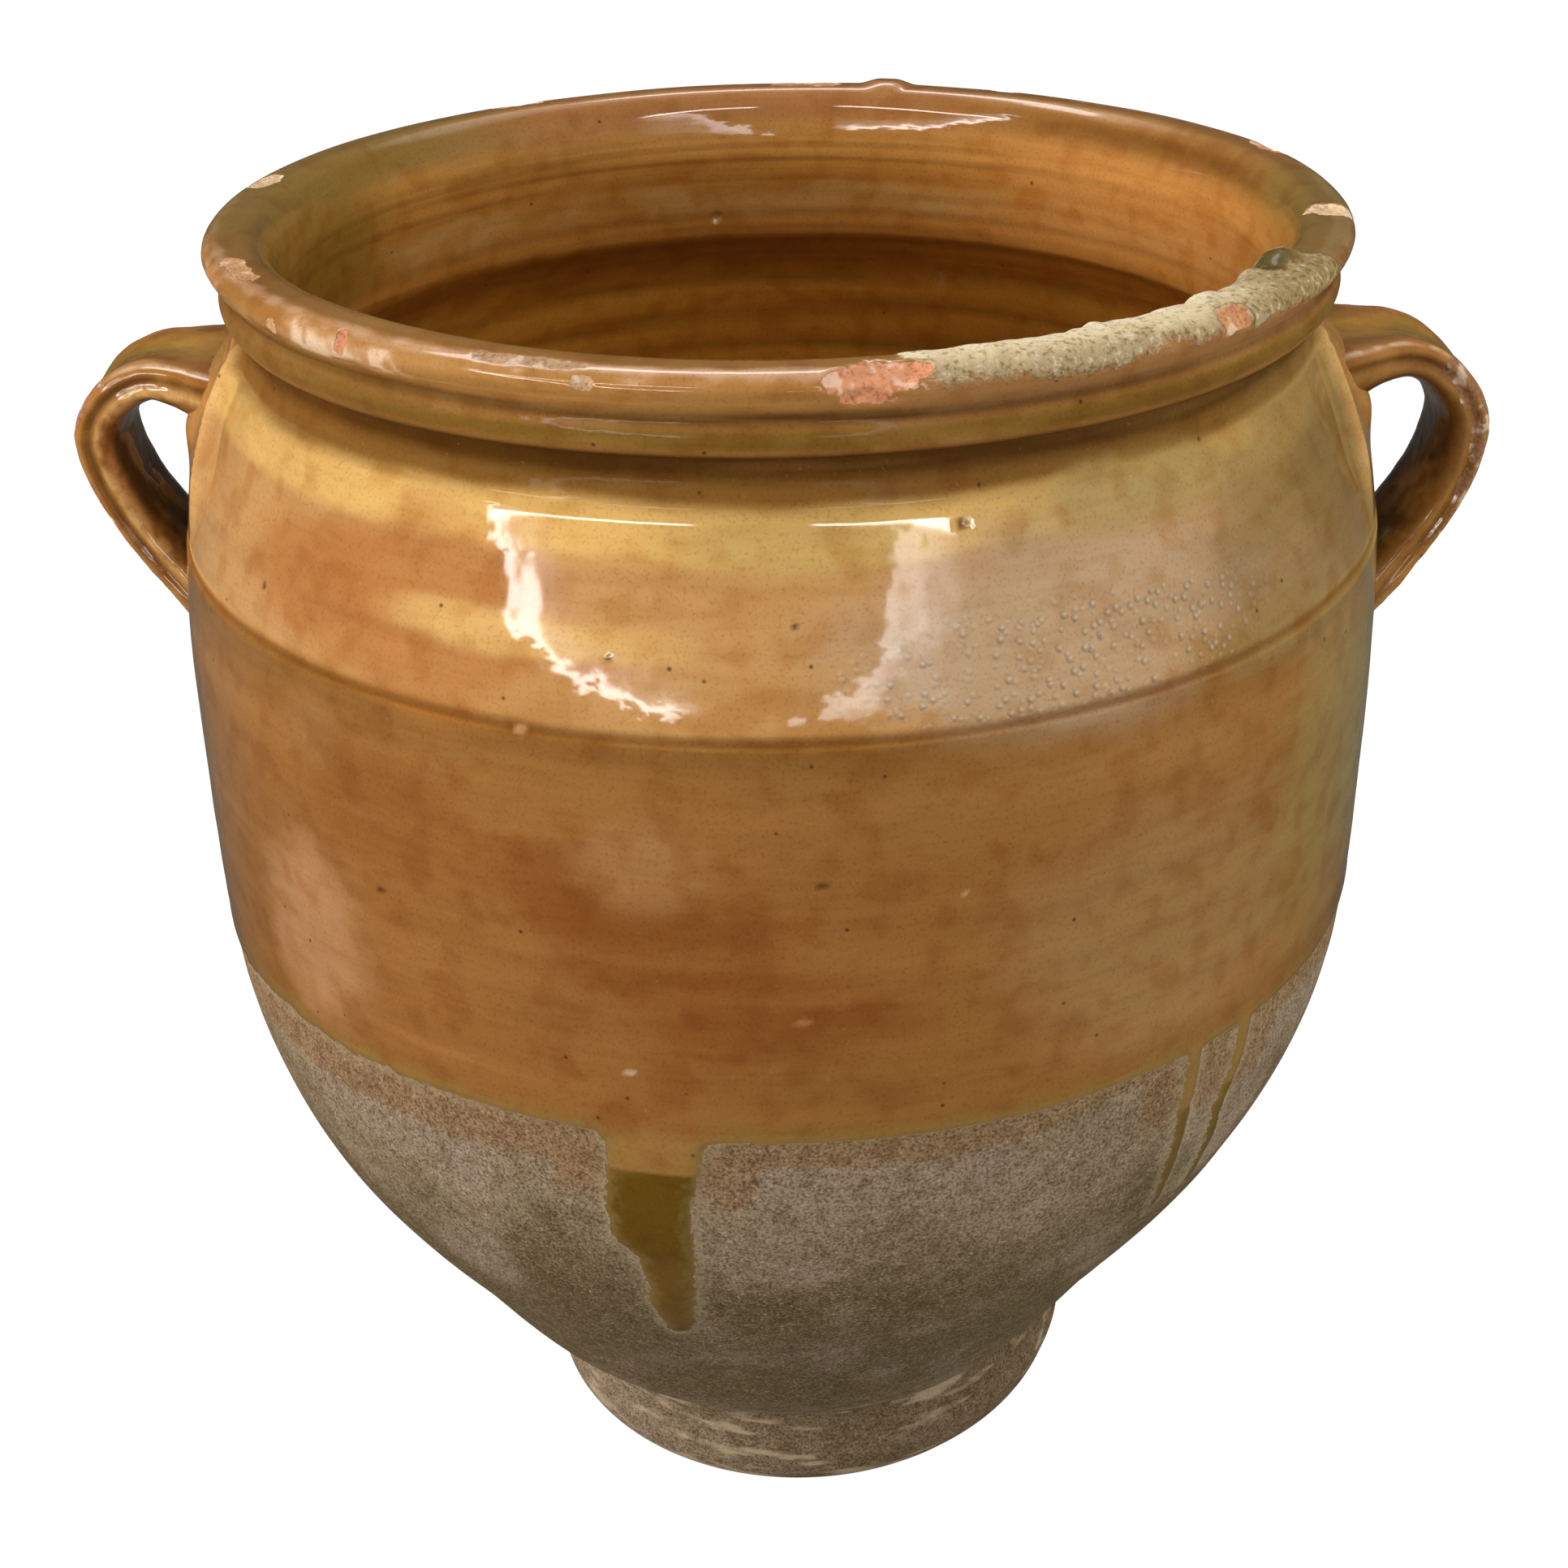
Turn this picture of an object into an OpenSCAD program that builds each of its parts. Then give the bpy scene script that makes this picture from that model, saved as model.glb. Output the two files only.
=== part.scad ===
// Confit pot: a thrown earthenware jar with a collared rim, two pulled strap
// handles luted under the collar, a swelling body and a small upright foot.
// It stands on z = 0 with its axis on z, and the handles lie on the x axis.

/* [Main sizes] */
// Height from the table to the top of the rim, in mm
pot_height = 281; // [253:1:309]
// Widest diameter of the body
body_diameter = 244.4; // [220:0.2:270]
// Outer diameter of the lip
rim_diameter = 218; // [206:1:240]
// Diameter of the ring the pot stands on
base_diameter = 120; // [104:1:128]

/* [Foot and belly] */
// Height of the crease where the foot meets the belly
foot_height = 22.7; // [16:0.1:30]
// Diameter at that crease
crease_diameter = 125.2; // [122:0.2:138]
// Worn rounding of the standing edge
foot_wear = 1.6; // [0.6:0.1:3]
// Height at which the body is widest
widest_height = 160; // [140:1:175]
// Drop from the top of the lip to the incised line on the shoulder
line_drop = 57; // [51:0.5:67]
// Depth of the incised line
line_depth = 0.8; // [0.4:0.1:1.4]
// Width of the incised line
line_width = 2.4; // [1.4:0.1:4]

/* [Neck and collar] */
// Diameter of the neck groove under the collar
neck_diameter = 206.4; // [198:0.2:208]
// Height of the collar, from its sharp lower edge to the top of the lip
collar_height = 13.4; // [11:0.1:16]
// Diameter of the lower edge of the collar
collar_diameter = 211.4; // [208.4:0.2:214]
// Width of the lip, from its outer face to its inner edge
lip_width = 12.2; // [9:0.1:14]
// Depth of the neck inside, from the top of the lip down to the throat
neck_depth = 33; // [27:0.5:39]
// Diameter of the throat
throat_diameter = 199; // [192:0.5:202]

/* [Wall] */
// Thickness of the belly wall
wall = 7; // [5:0.1:9]
// Thickness of the floor
floor_thickness = 13; // [8:0.5:18]

/* [Handles] */
// How far each handle stands out past the widest part of the body
stand_out = 18.2; // [15:0.2:28]
// Drop from the collar's lower edge to the top of the handles
handle_drop = 13.6; // [11:0.2:20]
// Height of the handles, from the top down to where the lower root meets the belly
handle_height = 54; // [46:0.5:66]
// Width of the strap
strap_width = 26; // [18:0.5:32]
// Size of the bend where the strap turns down
strap_bend = 18; // [14:0.5:24]
// Thickness of the strap at its raised edges
strap_thickness = 9.6; // [7:0.1:12]
// Depth of the thumbed valley along the outer face
valley_depth = 2.2; // [0.5:0.1:3.5]
// Width of the root smeared on under the collar
upper_root_width = 42; // [30:0.5:54]
// Width of the lower root
lower_root_width = 33; // [27:0.5:44]

/* [Worn rim] */
// Depth of the larger chips in the lip
chip_depth = 1.3; // [0.4:0.1:2.4]

/* [Hidden] */
$fn = 96;
body_r = body_diameter / 2;
rim_r = rim_diameter / 2;
base_r = base_diameter / 2;
crease_r = crease_diameter / 2;
neck_r = neck_diameter / 2;
collar_r = collar_diameter / 2;
throat_r = throat_diameter / 2;
lip_r = rim_r - lip_width;
collar_z = pot_height - collar_height;
neck_z = collar_z - 4;
throat_z = pot_height - neck_depth;
line_z = pot_height - line_drop;
handle_reach = body_r + stand_out;
handle_top = collar_z - handle_drop;
handle_foot = handle_top - handle_height;
line_r = body_r - 2.4;
belly_rise = widest_height - foot_height;
shoulder_drop = neck_z - line_z;
strap_steps = 7;
section_steps = 20;

// Point at share t of a smooth curve from a to b. The curve leaves a at the
// angle p and reaches b at the angle q, in degrees from straight up, outward.
function bend(a, b, p, q, t) =
    let (k = norm(b - a))
    (2 * t ^ 3 - 3 * t ^ 2 + 1) * a + (t ^ 3 - 2 * t ^ 2 + t) * k * [sin(p), cos(p)]
    + (3 * t ^ 2 - 2 * t ^ 3) * b + (t ^ 3 - t ^ 2) * k * [sin(q), cos(q)];

// The curve's points, without its last one.
function curve(a, b, p, q, n) = [for (i = [0:n - 1]) bend(a, b, p, q, i / n)];

// Key points of the outside, from the table up.
crease = [crease_r, foot_height];
low_belly = [crease_r + 0.444 * (body_r - crease_r), foot_height + 0.275 * belly_rise];
mid_belly = [crease_r + 0.802 * (body_r - crease_r), foot_height + 0.535 * belly_rise];
top_belly = [body_r - 0.7, foot_height + 0.825 * belly_rise];
widest = [body_r, widest_height];
incised = [line_r, line_z];
mid_shoulder = [line_r - 6.3, line_z + 0.42 * shoulder_drop];
top_shoulder = [neck_r + 1.1, line_z + 0.87 * shoulder_drop];

// Half outline of the solid outside, with the foot's worn edge, the incised
// line, the neck groove, the collar's bead and shallow groove and the rolled lip.
function outside() = concat(
    [[0, 0]],
    curve([base_r - foot_wear, 0], [base_r + 0.5, foot_wear], 90, 20, 3),
    curve([base_r + 0.5, foot_wear], crease, 30, 10, 4),
    curve(crease, low_belly, 49, 33, 6),
    curve(low_belly, mid_belly, 33, 24, 5),
    curve(mid_belly, top_belly, 24, 5, 6),
    curve(top_belly, widest, 5, 0, 2),
    curve(widest, incised - [-0.4, line_width / 2], 0, -7, 5),
    [incised - [-0.4, line_width / 2]],
    [incised - [line_depth, 0]],
    curve(incised + [-0.4, line_width / 2], mid_shoulder, -13, -25, 4),
    curve(mid_shoulder, top_shoulder, -25, -45, 4),
    curve(top_shoulder, [neck_r, neck_z], -30, 8, 3),
    [[neck_r, neck_z], [neck_r + 0.7, collar_z - 0.8]],
    curve([collar_r, collar_z], [collar_r + 1.4, collar_z + 2.6], 40, 0, 2),
    curve([collar_r + 1.4, collar_z + 2.6], [collar_r + 0.5, collar_z + 6.2], 0, 0, 3),
    curve([collar_r + 0.5, collar_z + 6.2], [rim_r, pot_height - 2.4], 10, 10, 4),
    curve([rim_r, pot_height - 2.4], [rim_r - 2.8, pot_height], 0, -90, 4),
    [[rim_r - 2.8, pot_height], [0, pot_height]]
);

// Half outline of the hollow, from the floor up to above the lip.
function hollow() = concat(
    [[0, floor_thickness]],
    curve([base_r - 22, floor_thickness], low_belly - [wall, 0], 75, 33, 6),
    curve(low_belly - [wall, 0], mid_belly - [wall, 0], 33, 25, 5),
    curve(mid_belly - [wall, 0], widest - [wall, 0], 25, 0, 6),
    curve(widest - [wall, 0], incised - [wall, 4], 0, -12, 4),
    curve(incised - [wall, 4], [throat_r, throat_z], -12, -46, 6),
    curve([throat_r, throat_z], [lip_r, pot_height - 4], -14, 4, 4),
    curve([lip_r, pot_height - 4], [lip_r + 1.6, pot_height - 0.8], 0, 62, 3),
    [[lip_r + 1.6, pot_height - 0.8], [rim_r - 2.8, pot_height + 0.01], [rim_r - 2.8, pot_height + 1]],
    [[0, pot_height + 1]]
);

// Middle line of a strap in the plane of x and z: it leaves the neck level,
// turns down over the crown and slants back to the belly.
strap_half = strap_thickness / 2;
edge_loss = 0.37 * valley_depth;
crown = [handle_reach - strap_bend, handle_top - strap_half + edge_loss];
elbow = [handle_reach - strap_half + edge_loss, handle_top - 1.08 * strap_bend];
upper_root = [throat_r + 3, handle_top - strap_half - 0.8];
lower_root = [body_r - 1.24 * wall, handle_foot - 1.5 * wall];
strap_line = concat(
    curve(upper_root, crown, 86, 91, strap_steps),
    curve(crown, elbow, 91, 181, strap_steps),
    curve(elbow, lower_root, 181, 214, strap_steps + 2),
    [lower_root]
);
stations = len(strap_line);

// How far a root's flare has faded at a distance along the strap, 1 at the root.
function fade(distance, reach) = exp(-(distance / reach) ^ 2);
function flat_power(v, e) = sign(v) * abs(v) ^ e;

// Section of the strap at station i, round from its front edge: the outer face
// has the valley between two raised edges and the inner face is plainly rounded.
function strap_ring(i) =
    let (
        here = strap_line[i],
        run = strap_line[min(i + 1, stations - 1)] - strap_line[max(i - 1, 0)],
        along = run / norm(run),
        out = [-along.y, along.x],
        top = fade(norm(here - upper_root) - 4, 11),
        low = fade(norm(here - lower_root) - 9, 12),
        dip = valley_depth * (1 - 0.6 * top) * (1 - 0.85 * low),
        half = strap_width / 2 + (upper_root_width - strap_width) / 2 * top
            + (lower_root_width - strap_width) / 2 * low,
        under = strap_half + 5.5 * top + 2.5 * low
    )
    [for (k = [0:section_steps - 1])
        let (
            a = 360 * k / section_steps,
            y = half * flat_power(cos(a), 0.62),
            rise = sin(a) > 0 ? strap_half * flat_power(sin(a), 0.62) : under * flat_power(sin(a), 0.75),
            valley = sin(a) > 0 ? dip * (0.5 + 0.5 * cos(180 * y / half)) : 0,
            p = here + out * (rise - valley)
        )
        [p.x, y, p.y]
    ];

// One strap handle on the +x side, as a skin through its rings.
module strap_handle() {
    points = [for (i = [0:stations - 1]) each strap_ring(i)];
    sides = [for (i = [0:stations - 2], k = [0:section_steps - 1])
        let (
            a = i * section_steps + k,
            b = i * section_steps + (k + 1) % section_steps
        )
        each [[b, a, b + section_steps], [a, a + section_steps, b + section_steps]]
    ];
    first = [for (k = [0:section_steps - 1]) k];
    last = [for (k = [section_steps - 1:-1:0]) (stations - 1) * section_steps + k];
    polyhedron(points, concat(sides, [first], [last]), convexity = 4);
}

// A shallow chip knocked out of the lip's outer edge at an angle round the rim.
module chip(angle, ball, depth) {
    away = (ball - depth) * sqrt(0.5);
    rotate(angle)
        translate([rim_r - 0.9 + away, 0, pot_height - 0.9 + away])
            sphere(ball);
}

// The whole fired piece.
module pot() {
    color("peru")
        difference() {
            union() {
                difference() {
                    rotate_extrude() polygon(outside());
                    chip(-81, 34, chip_depth);
                    chip(-37, 18, chip_depth * 0.8);
                    chip(-141, 12, chip_depth * 0.7);
                }
                strap_handle();
                rotate(180) strap_handle();
            }
            rotate_extrude() polygon(hollow());
        }
}

pot();
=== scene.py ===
import bpy
import numpy as np
from mathutils import Matrix


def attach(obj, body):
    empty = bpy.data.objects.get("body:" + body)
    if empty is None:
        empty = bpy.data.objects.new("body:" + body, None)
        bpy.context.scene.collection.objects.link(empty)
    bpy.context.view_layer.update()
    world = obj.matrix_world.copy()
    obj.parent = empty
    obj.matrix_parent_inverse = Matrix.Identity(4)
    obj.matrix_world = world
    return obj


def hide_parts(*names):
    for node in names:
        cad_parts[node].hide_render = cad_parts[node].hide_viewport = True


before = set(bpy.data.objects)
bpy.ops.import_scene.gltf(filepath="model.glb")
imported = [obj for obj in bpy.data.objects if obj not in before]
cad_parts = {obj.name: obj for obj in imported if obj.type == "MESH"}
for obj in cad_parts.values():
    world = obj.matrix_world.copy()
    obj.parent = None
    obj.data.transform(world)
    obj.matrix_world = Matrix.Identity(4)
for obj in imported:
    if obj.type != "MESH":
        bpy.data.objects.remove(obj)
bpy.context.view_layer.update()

# The thrown wall. The pot is thrown in one go on a wheel in buff earthenware: a narrow
# foot, a round belly and a shoulder that draws in under the collar. Before firing it was
# dipped upside down in a lead glaze, so the foot and the lower belly are bare clay.
# The outline is in millimetres from the middle and from the table. Each entry is a curve:
# where it starts, where it ends, and its angles there in degrees from straight up.
FOOT = [((0, 0.8), (50, 0.6), 90, 92), ((50, 0.6), (55.2, 0), 95, 92),
        ((55.2, 0), (58.2, 0), 90, 90), ((58.2, 0), (60.1, 1.8), 86, 30),
        ((60.1, 1.8), (62.2, 22.2), 33, 10), ((62.2, 22.2), (63.4, 24.9), 10, 46)]
BELLY = [((63.4, 24.9), (89.0, 60.5), 49, 33), ((89.0, 60.5), (110.3, 96.2), 33, 24),
         ((110.3, 96.2), (121.3, 136), 24, 5), ((121.3, 136), (121.9, 160), 5, 0),
         ((121.9, 160), (119.5, 222.4), 0, -7)]
SHOULDER = [((119.5, 222.4), (113.4, 240.8), -11, -25), ((113.4, 240.8), (106.2, 256.0), -25, -28),
            ((106.2, 256.0), (105.0, 257.6), -28, -42), ((105.0, 257.6), (104.6, 258.2), -42, -14),
            ((104.6, 258.2), (103.2, 263.6), -14, 4), ((103.2, 263.6), (104.2, 266.9), 6, 30)]
# The collar goes on from the shoulder's last point, up the bead and over the lip.
COLLAR = [((104.2, 266.9), (105.7, 267.4), 80, 60), ((105.7, 267.4), (107.1, 270.2), 50, 0),
          ((107.1, 270.2), (106.2, 273.8), -4, 2), ((106.2, 273.8), (109, 278.6), 12, 8),
          ((109, 278.6), (105.6, 281), -6, -90), ((105.6, 281), (102, 281), -91, -94),
          ((102, 281), (96.6, 270.5), -95, -177)]
STANDING_RING = (58.2, 0)
BARE_CLAY_TO = 82
GLAZE_EDGE_TO = 159
INCISED_LINE = 223.8
# The wall leans to the left of the wheel's middle: heights, and millimetres there.
LEAN = [(0, -0.4), (5, -1.6), (12, -2.8), (18, -2.0), (24, 0.6), (36, 2.5), (48, 2.7), (72, 2.7),
        (96, 2.2), (120, 1.3), (135, 0.8), (200, 0.7), (224, 0.5), (250, 0.9), (262, 0.5), (270, 0),
        (290, 0)]


def bend(start, end, leaving, arriving, steps):
    """Points of Hermite's cubic curve from start to end: it leaves and arrives at two angles from straight
    up, both with a pull as long as the straight way between the points."""
    t = np.linspace(0, 1, steps)[:, None]
    start, end = np.array(start, float), np.array(end, float)
    pull = np.hypot(*(end - start))
    first, last = [pull * np.array([np.sin(a), np.cos(a)]) for a in np.radians((leaving, arriving))]
    return ((2 * t**3 - 3 * t**2 + 1) * start + (t**3 - 2 * t**2 + t) * first
            + (3 * t**2 - 2 * t**3) * end + (t**3 - t**2) * last)


def even_steps(line, step):
    """The same line with its points one step apart along it, both ends kept."""
    along = np.r_[0, np.cumsum(np.hypot(*np.diff(line, axis=0).T))]
    spots = np.linspace(0, along[-1], int(np.ceil(along[-1] / step)) + 1)
    return np.stack([np.interp(spots, along, column) for column in line.T], 1)


def outline(curves, step):
    """The points of several curves in a row, one step apart, without their very last one."""
    return np.concatenate([even_steps(bend(*curve, 60), step)[:-1] for curve in curves])


def smooth(value, start, end):
    """0 up to start, 1 from end on, and an S-curve between; start may be the larger."""
    t = np.clip((value - start) / (end - start), 0, 1)
    return t * t * (3 - 2 * t)


def bump_at(value, middle, breadth):
    """A round bump: 1 at the middle, falling off to nothing past about twice its breadth."""
    return np.exp(-(((value - middle) / breadth) ** 2))


def random_field(points, cell, seed, stretch=(1, 1, 1)):
    """Smooth random values from -1 to 1: a random number on each corner of a lattice of cells of a size
    in millimetres, faded between the corners with an S-curve. The number comes from mixing the corner's
    bits."""
    spot = points / (cell * np.array(stretch)) + 1000
    corner = np.floor(spot).astype(np.int64)
    t = spot - corner
    t = t * t * (3 - 2 * t)
    total = np.zeros(points.shape[:-1])
    for step in np.ndindex(2, 2, 2):
        x, y, z = np.moveaxis(corner + step, -1, 0)
        bits = (x * 73856093) ^ (y * 19349663) ^ (z * 83492791) ^ (seed * 2654435761)
        bits = ((bits ^ (bits >> 13)) * 1274126177) & 0xFFFFFFFF
        bits = ((bits ^ (bits >> 16)) * 2246822519) & 0xFFFFFFFF
        share = np.prod(np.where(step, t, 1 - t), axis=-1)
        total += share * ((bits ^ (bits >> 15)) & 0xFFFF) / 32767.5
    return total - 1


def rough_field(points, cell, seed, stretch=(1, 1, 1), octaves=3):
    """Several random fields on top of one another, each half the size and a little over half the
    strength."""
    total = sum(0.55**k * random_field(points, cell / 2**k, seed + 7 * k, stretch) for k in range(octaves))
    return total / sum(0.55**k for k in range(octaves))


def apart(azimuth, middle):
    """Degrees from a middle direction, the short way round."""
    return (azimuth - middle + 180) % 360 - 180


def away(azimuth, radius, height, middle, level, wide, tall):
    """How far a point is from a spot on the wall: 0 at its middle (a direction and a height), and 1 on the
    ellipse of half its width and half its height in millimetres."""
    return np.hypot(np.radians(apart(azimuth, middle)) * radius / wide, (height - level) / tall)


def lean(height):
    """How far the wall stands to the left of the wheel's middle."""
    return np.interp(height, *np.array(LEAN).T)


# The glaze's edge wanders a little round the belly, and where it lay thick it ran down:
# one broad run left of the front, two slim ones to the right, and small ones behind.
# Its height at directions in degrees, with -90 to the front and 0 to the right.
GLAZE_EDGE = [(-180, 143), (-164, 141), (-154.7, 141.8), (-142.9, 144.5), (-134.7, 144), (-128, 145.9),
              (-121.1, 146.1), (-114.9, 147.2), (-109.2, 148.2), (-104, 147), (-97.5, 147.7),
              (-95.1, 148.6), (-90.6, 151.6), (-84.8, 150.4), (-77.9, 150.6), (-70.6, 150.3),
              (-65.6, 152.1), (-60.5, 154.2), (-56, 153.6), (-53.1, 150.1), (-47.9, 150.5),
              (-41.5, 151.3), (-32.9, 151), (-24, 148.1), (-8, 149), (10, 151.5), (32, 147),
              (55, 148.5), (78, 144), (100, 146.5), (124, 142), (150, 145), (180, 143)]
# Each run from its top down: heights, the middle's direction, and half the width in millimetres.
RUNS = [([151, 144.5, 138, 130, 122, 118.5, 116.5, 114.5, 109, 102.5, 98.5, 92.5, 88, 86.5],
         [-101.6, -101.6, -101.9, -102.4, -102.4, -102.2, -101.6, -101.3, -101.2, -101.1, -101.4, -101.2,
          -101.6, -101.7],
         [14, 8.9, 8.3, 7.9, 7.6, 7.3, 6.2, 5.5, 4.8, 4.2, 4.3, 3.3, 2.3, 0.2]),
        ([154, 148, 141, 133, 120, 103, 99], [-52.2, -52.1, -52.0, -52.2, -51.5, -50.0, -49.8],
         [4, 2.0, 1.6, 1.5, 1.4, 1.0, 0.1]),
        ([155, 149, 139, 127, 116, 103, 98], [-45.0, -45.1, -45.2, -46.6, -45.4, -44.8, -44.6],
         [4, 2.3, 1.7, 1.6, 1.4, 1.0, 0.1]),
        ([150, 144, 132, 120, 117], [22, 22, 22.4, 22.6, 22.6], [5, 2.4, 2.0, 1.3, 0.1]),
        ([150, 143, 128, 112, 99, 96], [68, 68, 67.6, 67.2, 67, 67], [9, 4.6, 3.8, 3.2, 2.0, 0.1]),
        ([146, 140, 131, 127], [136, 136, 136.3, 136.4], [6, 2.6, 1.8, 0.1])]


def glaze_reach(points, radius, azimuth, height):
    """Signed millimetres inside the glaze's edge, and how far a point is inside each run. The first is the
    height over the wandering edge or the distance inside a run, whichever is more, rounded where they
    meet."""
    edge = np.interp(azimuth, *np.array(GLAZE_EDGE).T)
    edge = edge + 0.8 * rough_field(points, 9, 31) + 0.55 * random_field(points, 2.2, 32)
    inside = height - edge
    shares = []
    for levels, middles, widths in RUNS:
        level, middle, width = (np.array(row[::-1], float) for row in (levels, middles, widths))
        off = np.radians(np.abs(apart(azimuth, np.interp(height, level, middle)))) * radius
        off = off + 0.30 * random_field(points, 2.6, 33)
        run = np.minimum(np.interp(height, level, width) - off, (height - level[0]) * 1.2)
        run = np.where(height > level[-1], height - level[-1], run)
        shares.append(run)
        blend = np.clip(0.5 + (inside - run) / 6, 0, 1)
        inside = np.maximum(inside, run) + 1.5 * blend * (1 - blend)
    return inside, shares


# One honey glaze takes many colours: yellow where it lies over pale slip under the neck,
# orange on the shoulder, brown and olive on the belly and where it pooled. Right under the
# collar it is darkest: partly pooled glaze and partly painted shade under the collar's overhang.
# Bands from the belly up: colour, heights where it starts and is full, and strength.
BELLY_HONEY = (149, 99, 46)
BANDS = [((160, 112, 56), 196, 212, 0.7), ((131, 88, 35), 212, 222, 0.7),
         ((194, 146, 90), 222.6, 226, 1.0), ((224, 180, 106), 249.0, 252.2, 1.0),
         # The last band is partly pooled glaze and partly painted shade under the collar.
         ((112, 72, 20), 256.5, 260.0, 0.9)]
# Cloudy patches: colour, direction, height, and half the width and height.
PATCHES = [((200, 166, 100), -88, 253, 26, 6), ((176, 114, 56), -120, 239, 26, 17),
           ((224, 182, 114), -113, 238, 32, 3.8), ((184, 158, 132), -64, 238, 50, 18),
           ((132, 106, 70), -38, 235, 38, 16), ((128, 72, 22), -101, 185, 24, 15),
           ((132, 78, 26), -108, 196, 14, 9), ((134, 76, 24), -91, 172, 26, 12),
           ((140, 86, 34), -126, 203, 22, 12), ((196, 148, 108), -136, 170, 18, 26),
           ((166, 120, 74), -101, 201, 13, 10), ((160, 114, 66), -133, 212, 9, 8),
           ((154, 132, 74), -32, 190, 28, 36), ((158, 122, 76), -56, 178, 34, 28),
           ((138, 84, 34), 95, 188, 38, 16), ((178, 132, 84), 40, 205, 30, 24),
           ((140, 104, 52), 138, 192, 36, 16), ((206, 160, 96), 70, 236, 44, 6),
           # The patches at -28 and -22 degrees are partly painted shade on the right, partly greener glaze.
           ((156, 104, 52), 20, 176, 36, 20), ((138, 112, 60), -28, 250, 48, 13),
           ((138, 110, 60), -22, 236, 28, 18), ((168, 140, 84), -56, 254, 30, 6),
           ((158, 144, 82), -12, 188, 30, 46), ((150, 118, 68), -44, 226, 30, 6),
           ((172, 108, 52), -134, 238, 22, 12)]
# Single pinholes and knobs: direction, height, size, depth, and colour.
MARKS = [(-74.4, 254.5, 1.0, 0.4, (104, 70, 34)), (-125.9, 185.6, 0.9, 0.3, (60, 32, 12)),
         (-87.3, 198.8, 0.7, 0.3, (70, 40, 16)), (-88.9, 171.9, 1.1, 0.3, (186, 126, 84)),
         (-103.3, 159.7, 0.8, -0.2, (214, 190, 160)), (-111.3, 223.5, 1.1, 0.2, (206, 164, 122)),
         (-89.0, 241.6, 0.7, 0.2, (70, 40, 16)), (-103.9, 236.1, 0.6, 0.2, (60, 32, 12)),
         (-76.1, 194.7, 0.6, -0.1, (190, 150, 106)), (-141, 233, 0.8, 0.2, (70, 40, 16)),
         (62, 190, 1.4, 0.4, (70, 40, 16)), (118, 228, 1.1, 0.3, (196, 150, 110))]


def tone(red, green, blue):
    """A colour as seen on a screen, 0 to 255, as the share of light it gives back."""
    level = np.array([red, green, blue]) / 255
    return np.where(level > 0.04045, ((level + 0.055) / 1.055) ** 2.4, level / 12.92)


def washed(colour, other, share):
    """A colour with a share of another laid over it."""
    return colour + (tone(*other) - colour) * share[..., None]


def glaze_colour(points, radius, azimuth, height, inside, runs):
    """The outer glaze's colour: bands by height, patches, drawn-out brush streaks and the darker runs.
    The heights of the bands wander with slow clouds, level streaks and finer spots."""
    streak = rough_field(points, 7, 41, (9, 9, 0.6))
    cloud = rough_field(points, 26, 42, (1.5, 1.5, 1))
    fine = rough_field(points, 6, 43, (2, 2, 1))
    level = height + 1.3 * cloud + 1.6 * streak + 0.5 * fine
    colour = np.broadcast_to(tone(*BELLY_HONEY), points.shape)
    for shade, start, full, strength in BANDS:
        colour = washed(colour, shade, smooth(level, start, full) * strength)
    # Painted shade under the collar's step, together with pooled glaze: darkest right below it.
    colour = washed(colour, (76, 44, 5), smooth(height, 260.5, 264) * 0.9)
    for shade, middle, at, wide, tall in PATCHES:
        reach = away(azimuth, radius, height, middle, at, wide, tall) + 0.35 * cloud + 0.22 * fine
        colour = washed(colour, shade, smooth(reach, 1.2, 0.5) * 0.72)
    colour = washed(colour, (116, 70, 24), np.clip(streak - 0.10, 0, 1) * 0.38)
    colour = washed(colour, (186, 136, 78), np.clip(-streak - 0.10, 0, 1) * 0.42)
    colour = washed(colour, (126, 82, 30), np.clip(cloud - 0.1, 0, 1) * 0.5)
    colour = washed(colour, (134, 102, 44), smooth(inside, 7 + 3 * fine, 1) * 0.55)
    for share in runs:
        shown = smooth(share, -0.4, 0.6)
        colour = washed(colour, (152, 112, 56), shown * smooth(height, 149, 145))
        colour = washed(colour, (102, 74, 2), shown * smooth(height + 0.1 * azimuth + fine, 128.2, 127.4))
        colour = washed(colour, (112, 82, 30), shown * smooth(level, 120, 111) * 0.8)
    return colour


class Wire:
    """A shader value that can be added, taken away and multiplied; each sign adds a Math node."""
    def __init__(self, finish, socket):
        self.finish = finish
        self.socket = socket

    def sum(self, operation, first, second):
        return self.finish.node("ShaderNodeMath", {"operation": operation}, {0: first, 1: second})

    def __add__(self, other):
        return self.sum("ADD", self, other)

    def __sub__(self, other):
        return self.sum("SUBTRACT", self, other)

    def __rsub__(self, other):
        return self.sum("SUBTRACT", other, self)

    def __mul__(self, other):
        return self.sum("MULTIPLY", self, other)

    __radd__ = __add__
    __rmul__ = __mul__

    def rise(self, start, end):
        """0 below start, 1 above end, and an S-curve between; start may be the larger, to fall."""
        return self.finish.node("ShaderNodeMapRange", {"interpolation_type": "SMOOTHSTEP"},
                                {"Value": self, "From Min": start, "From Max": end})


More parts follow.
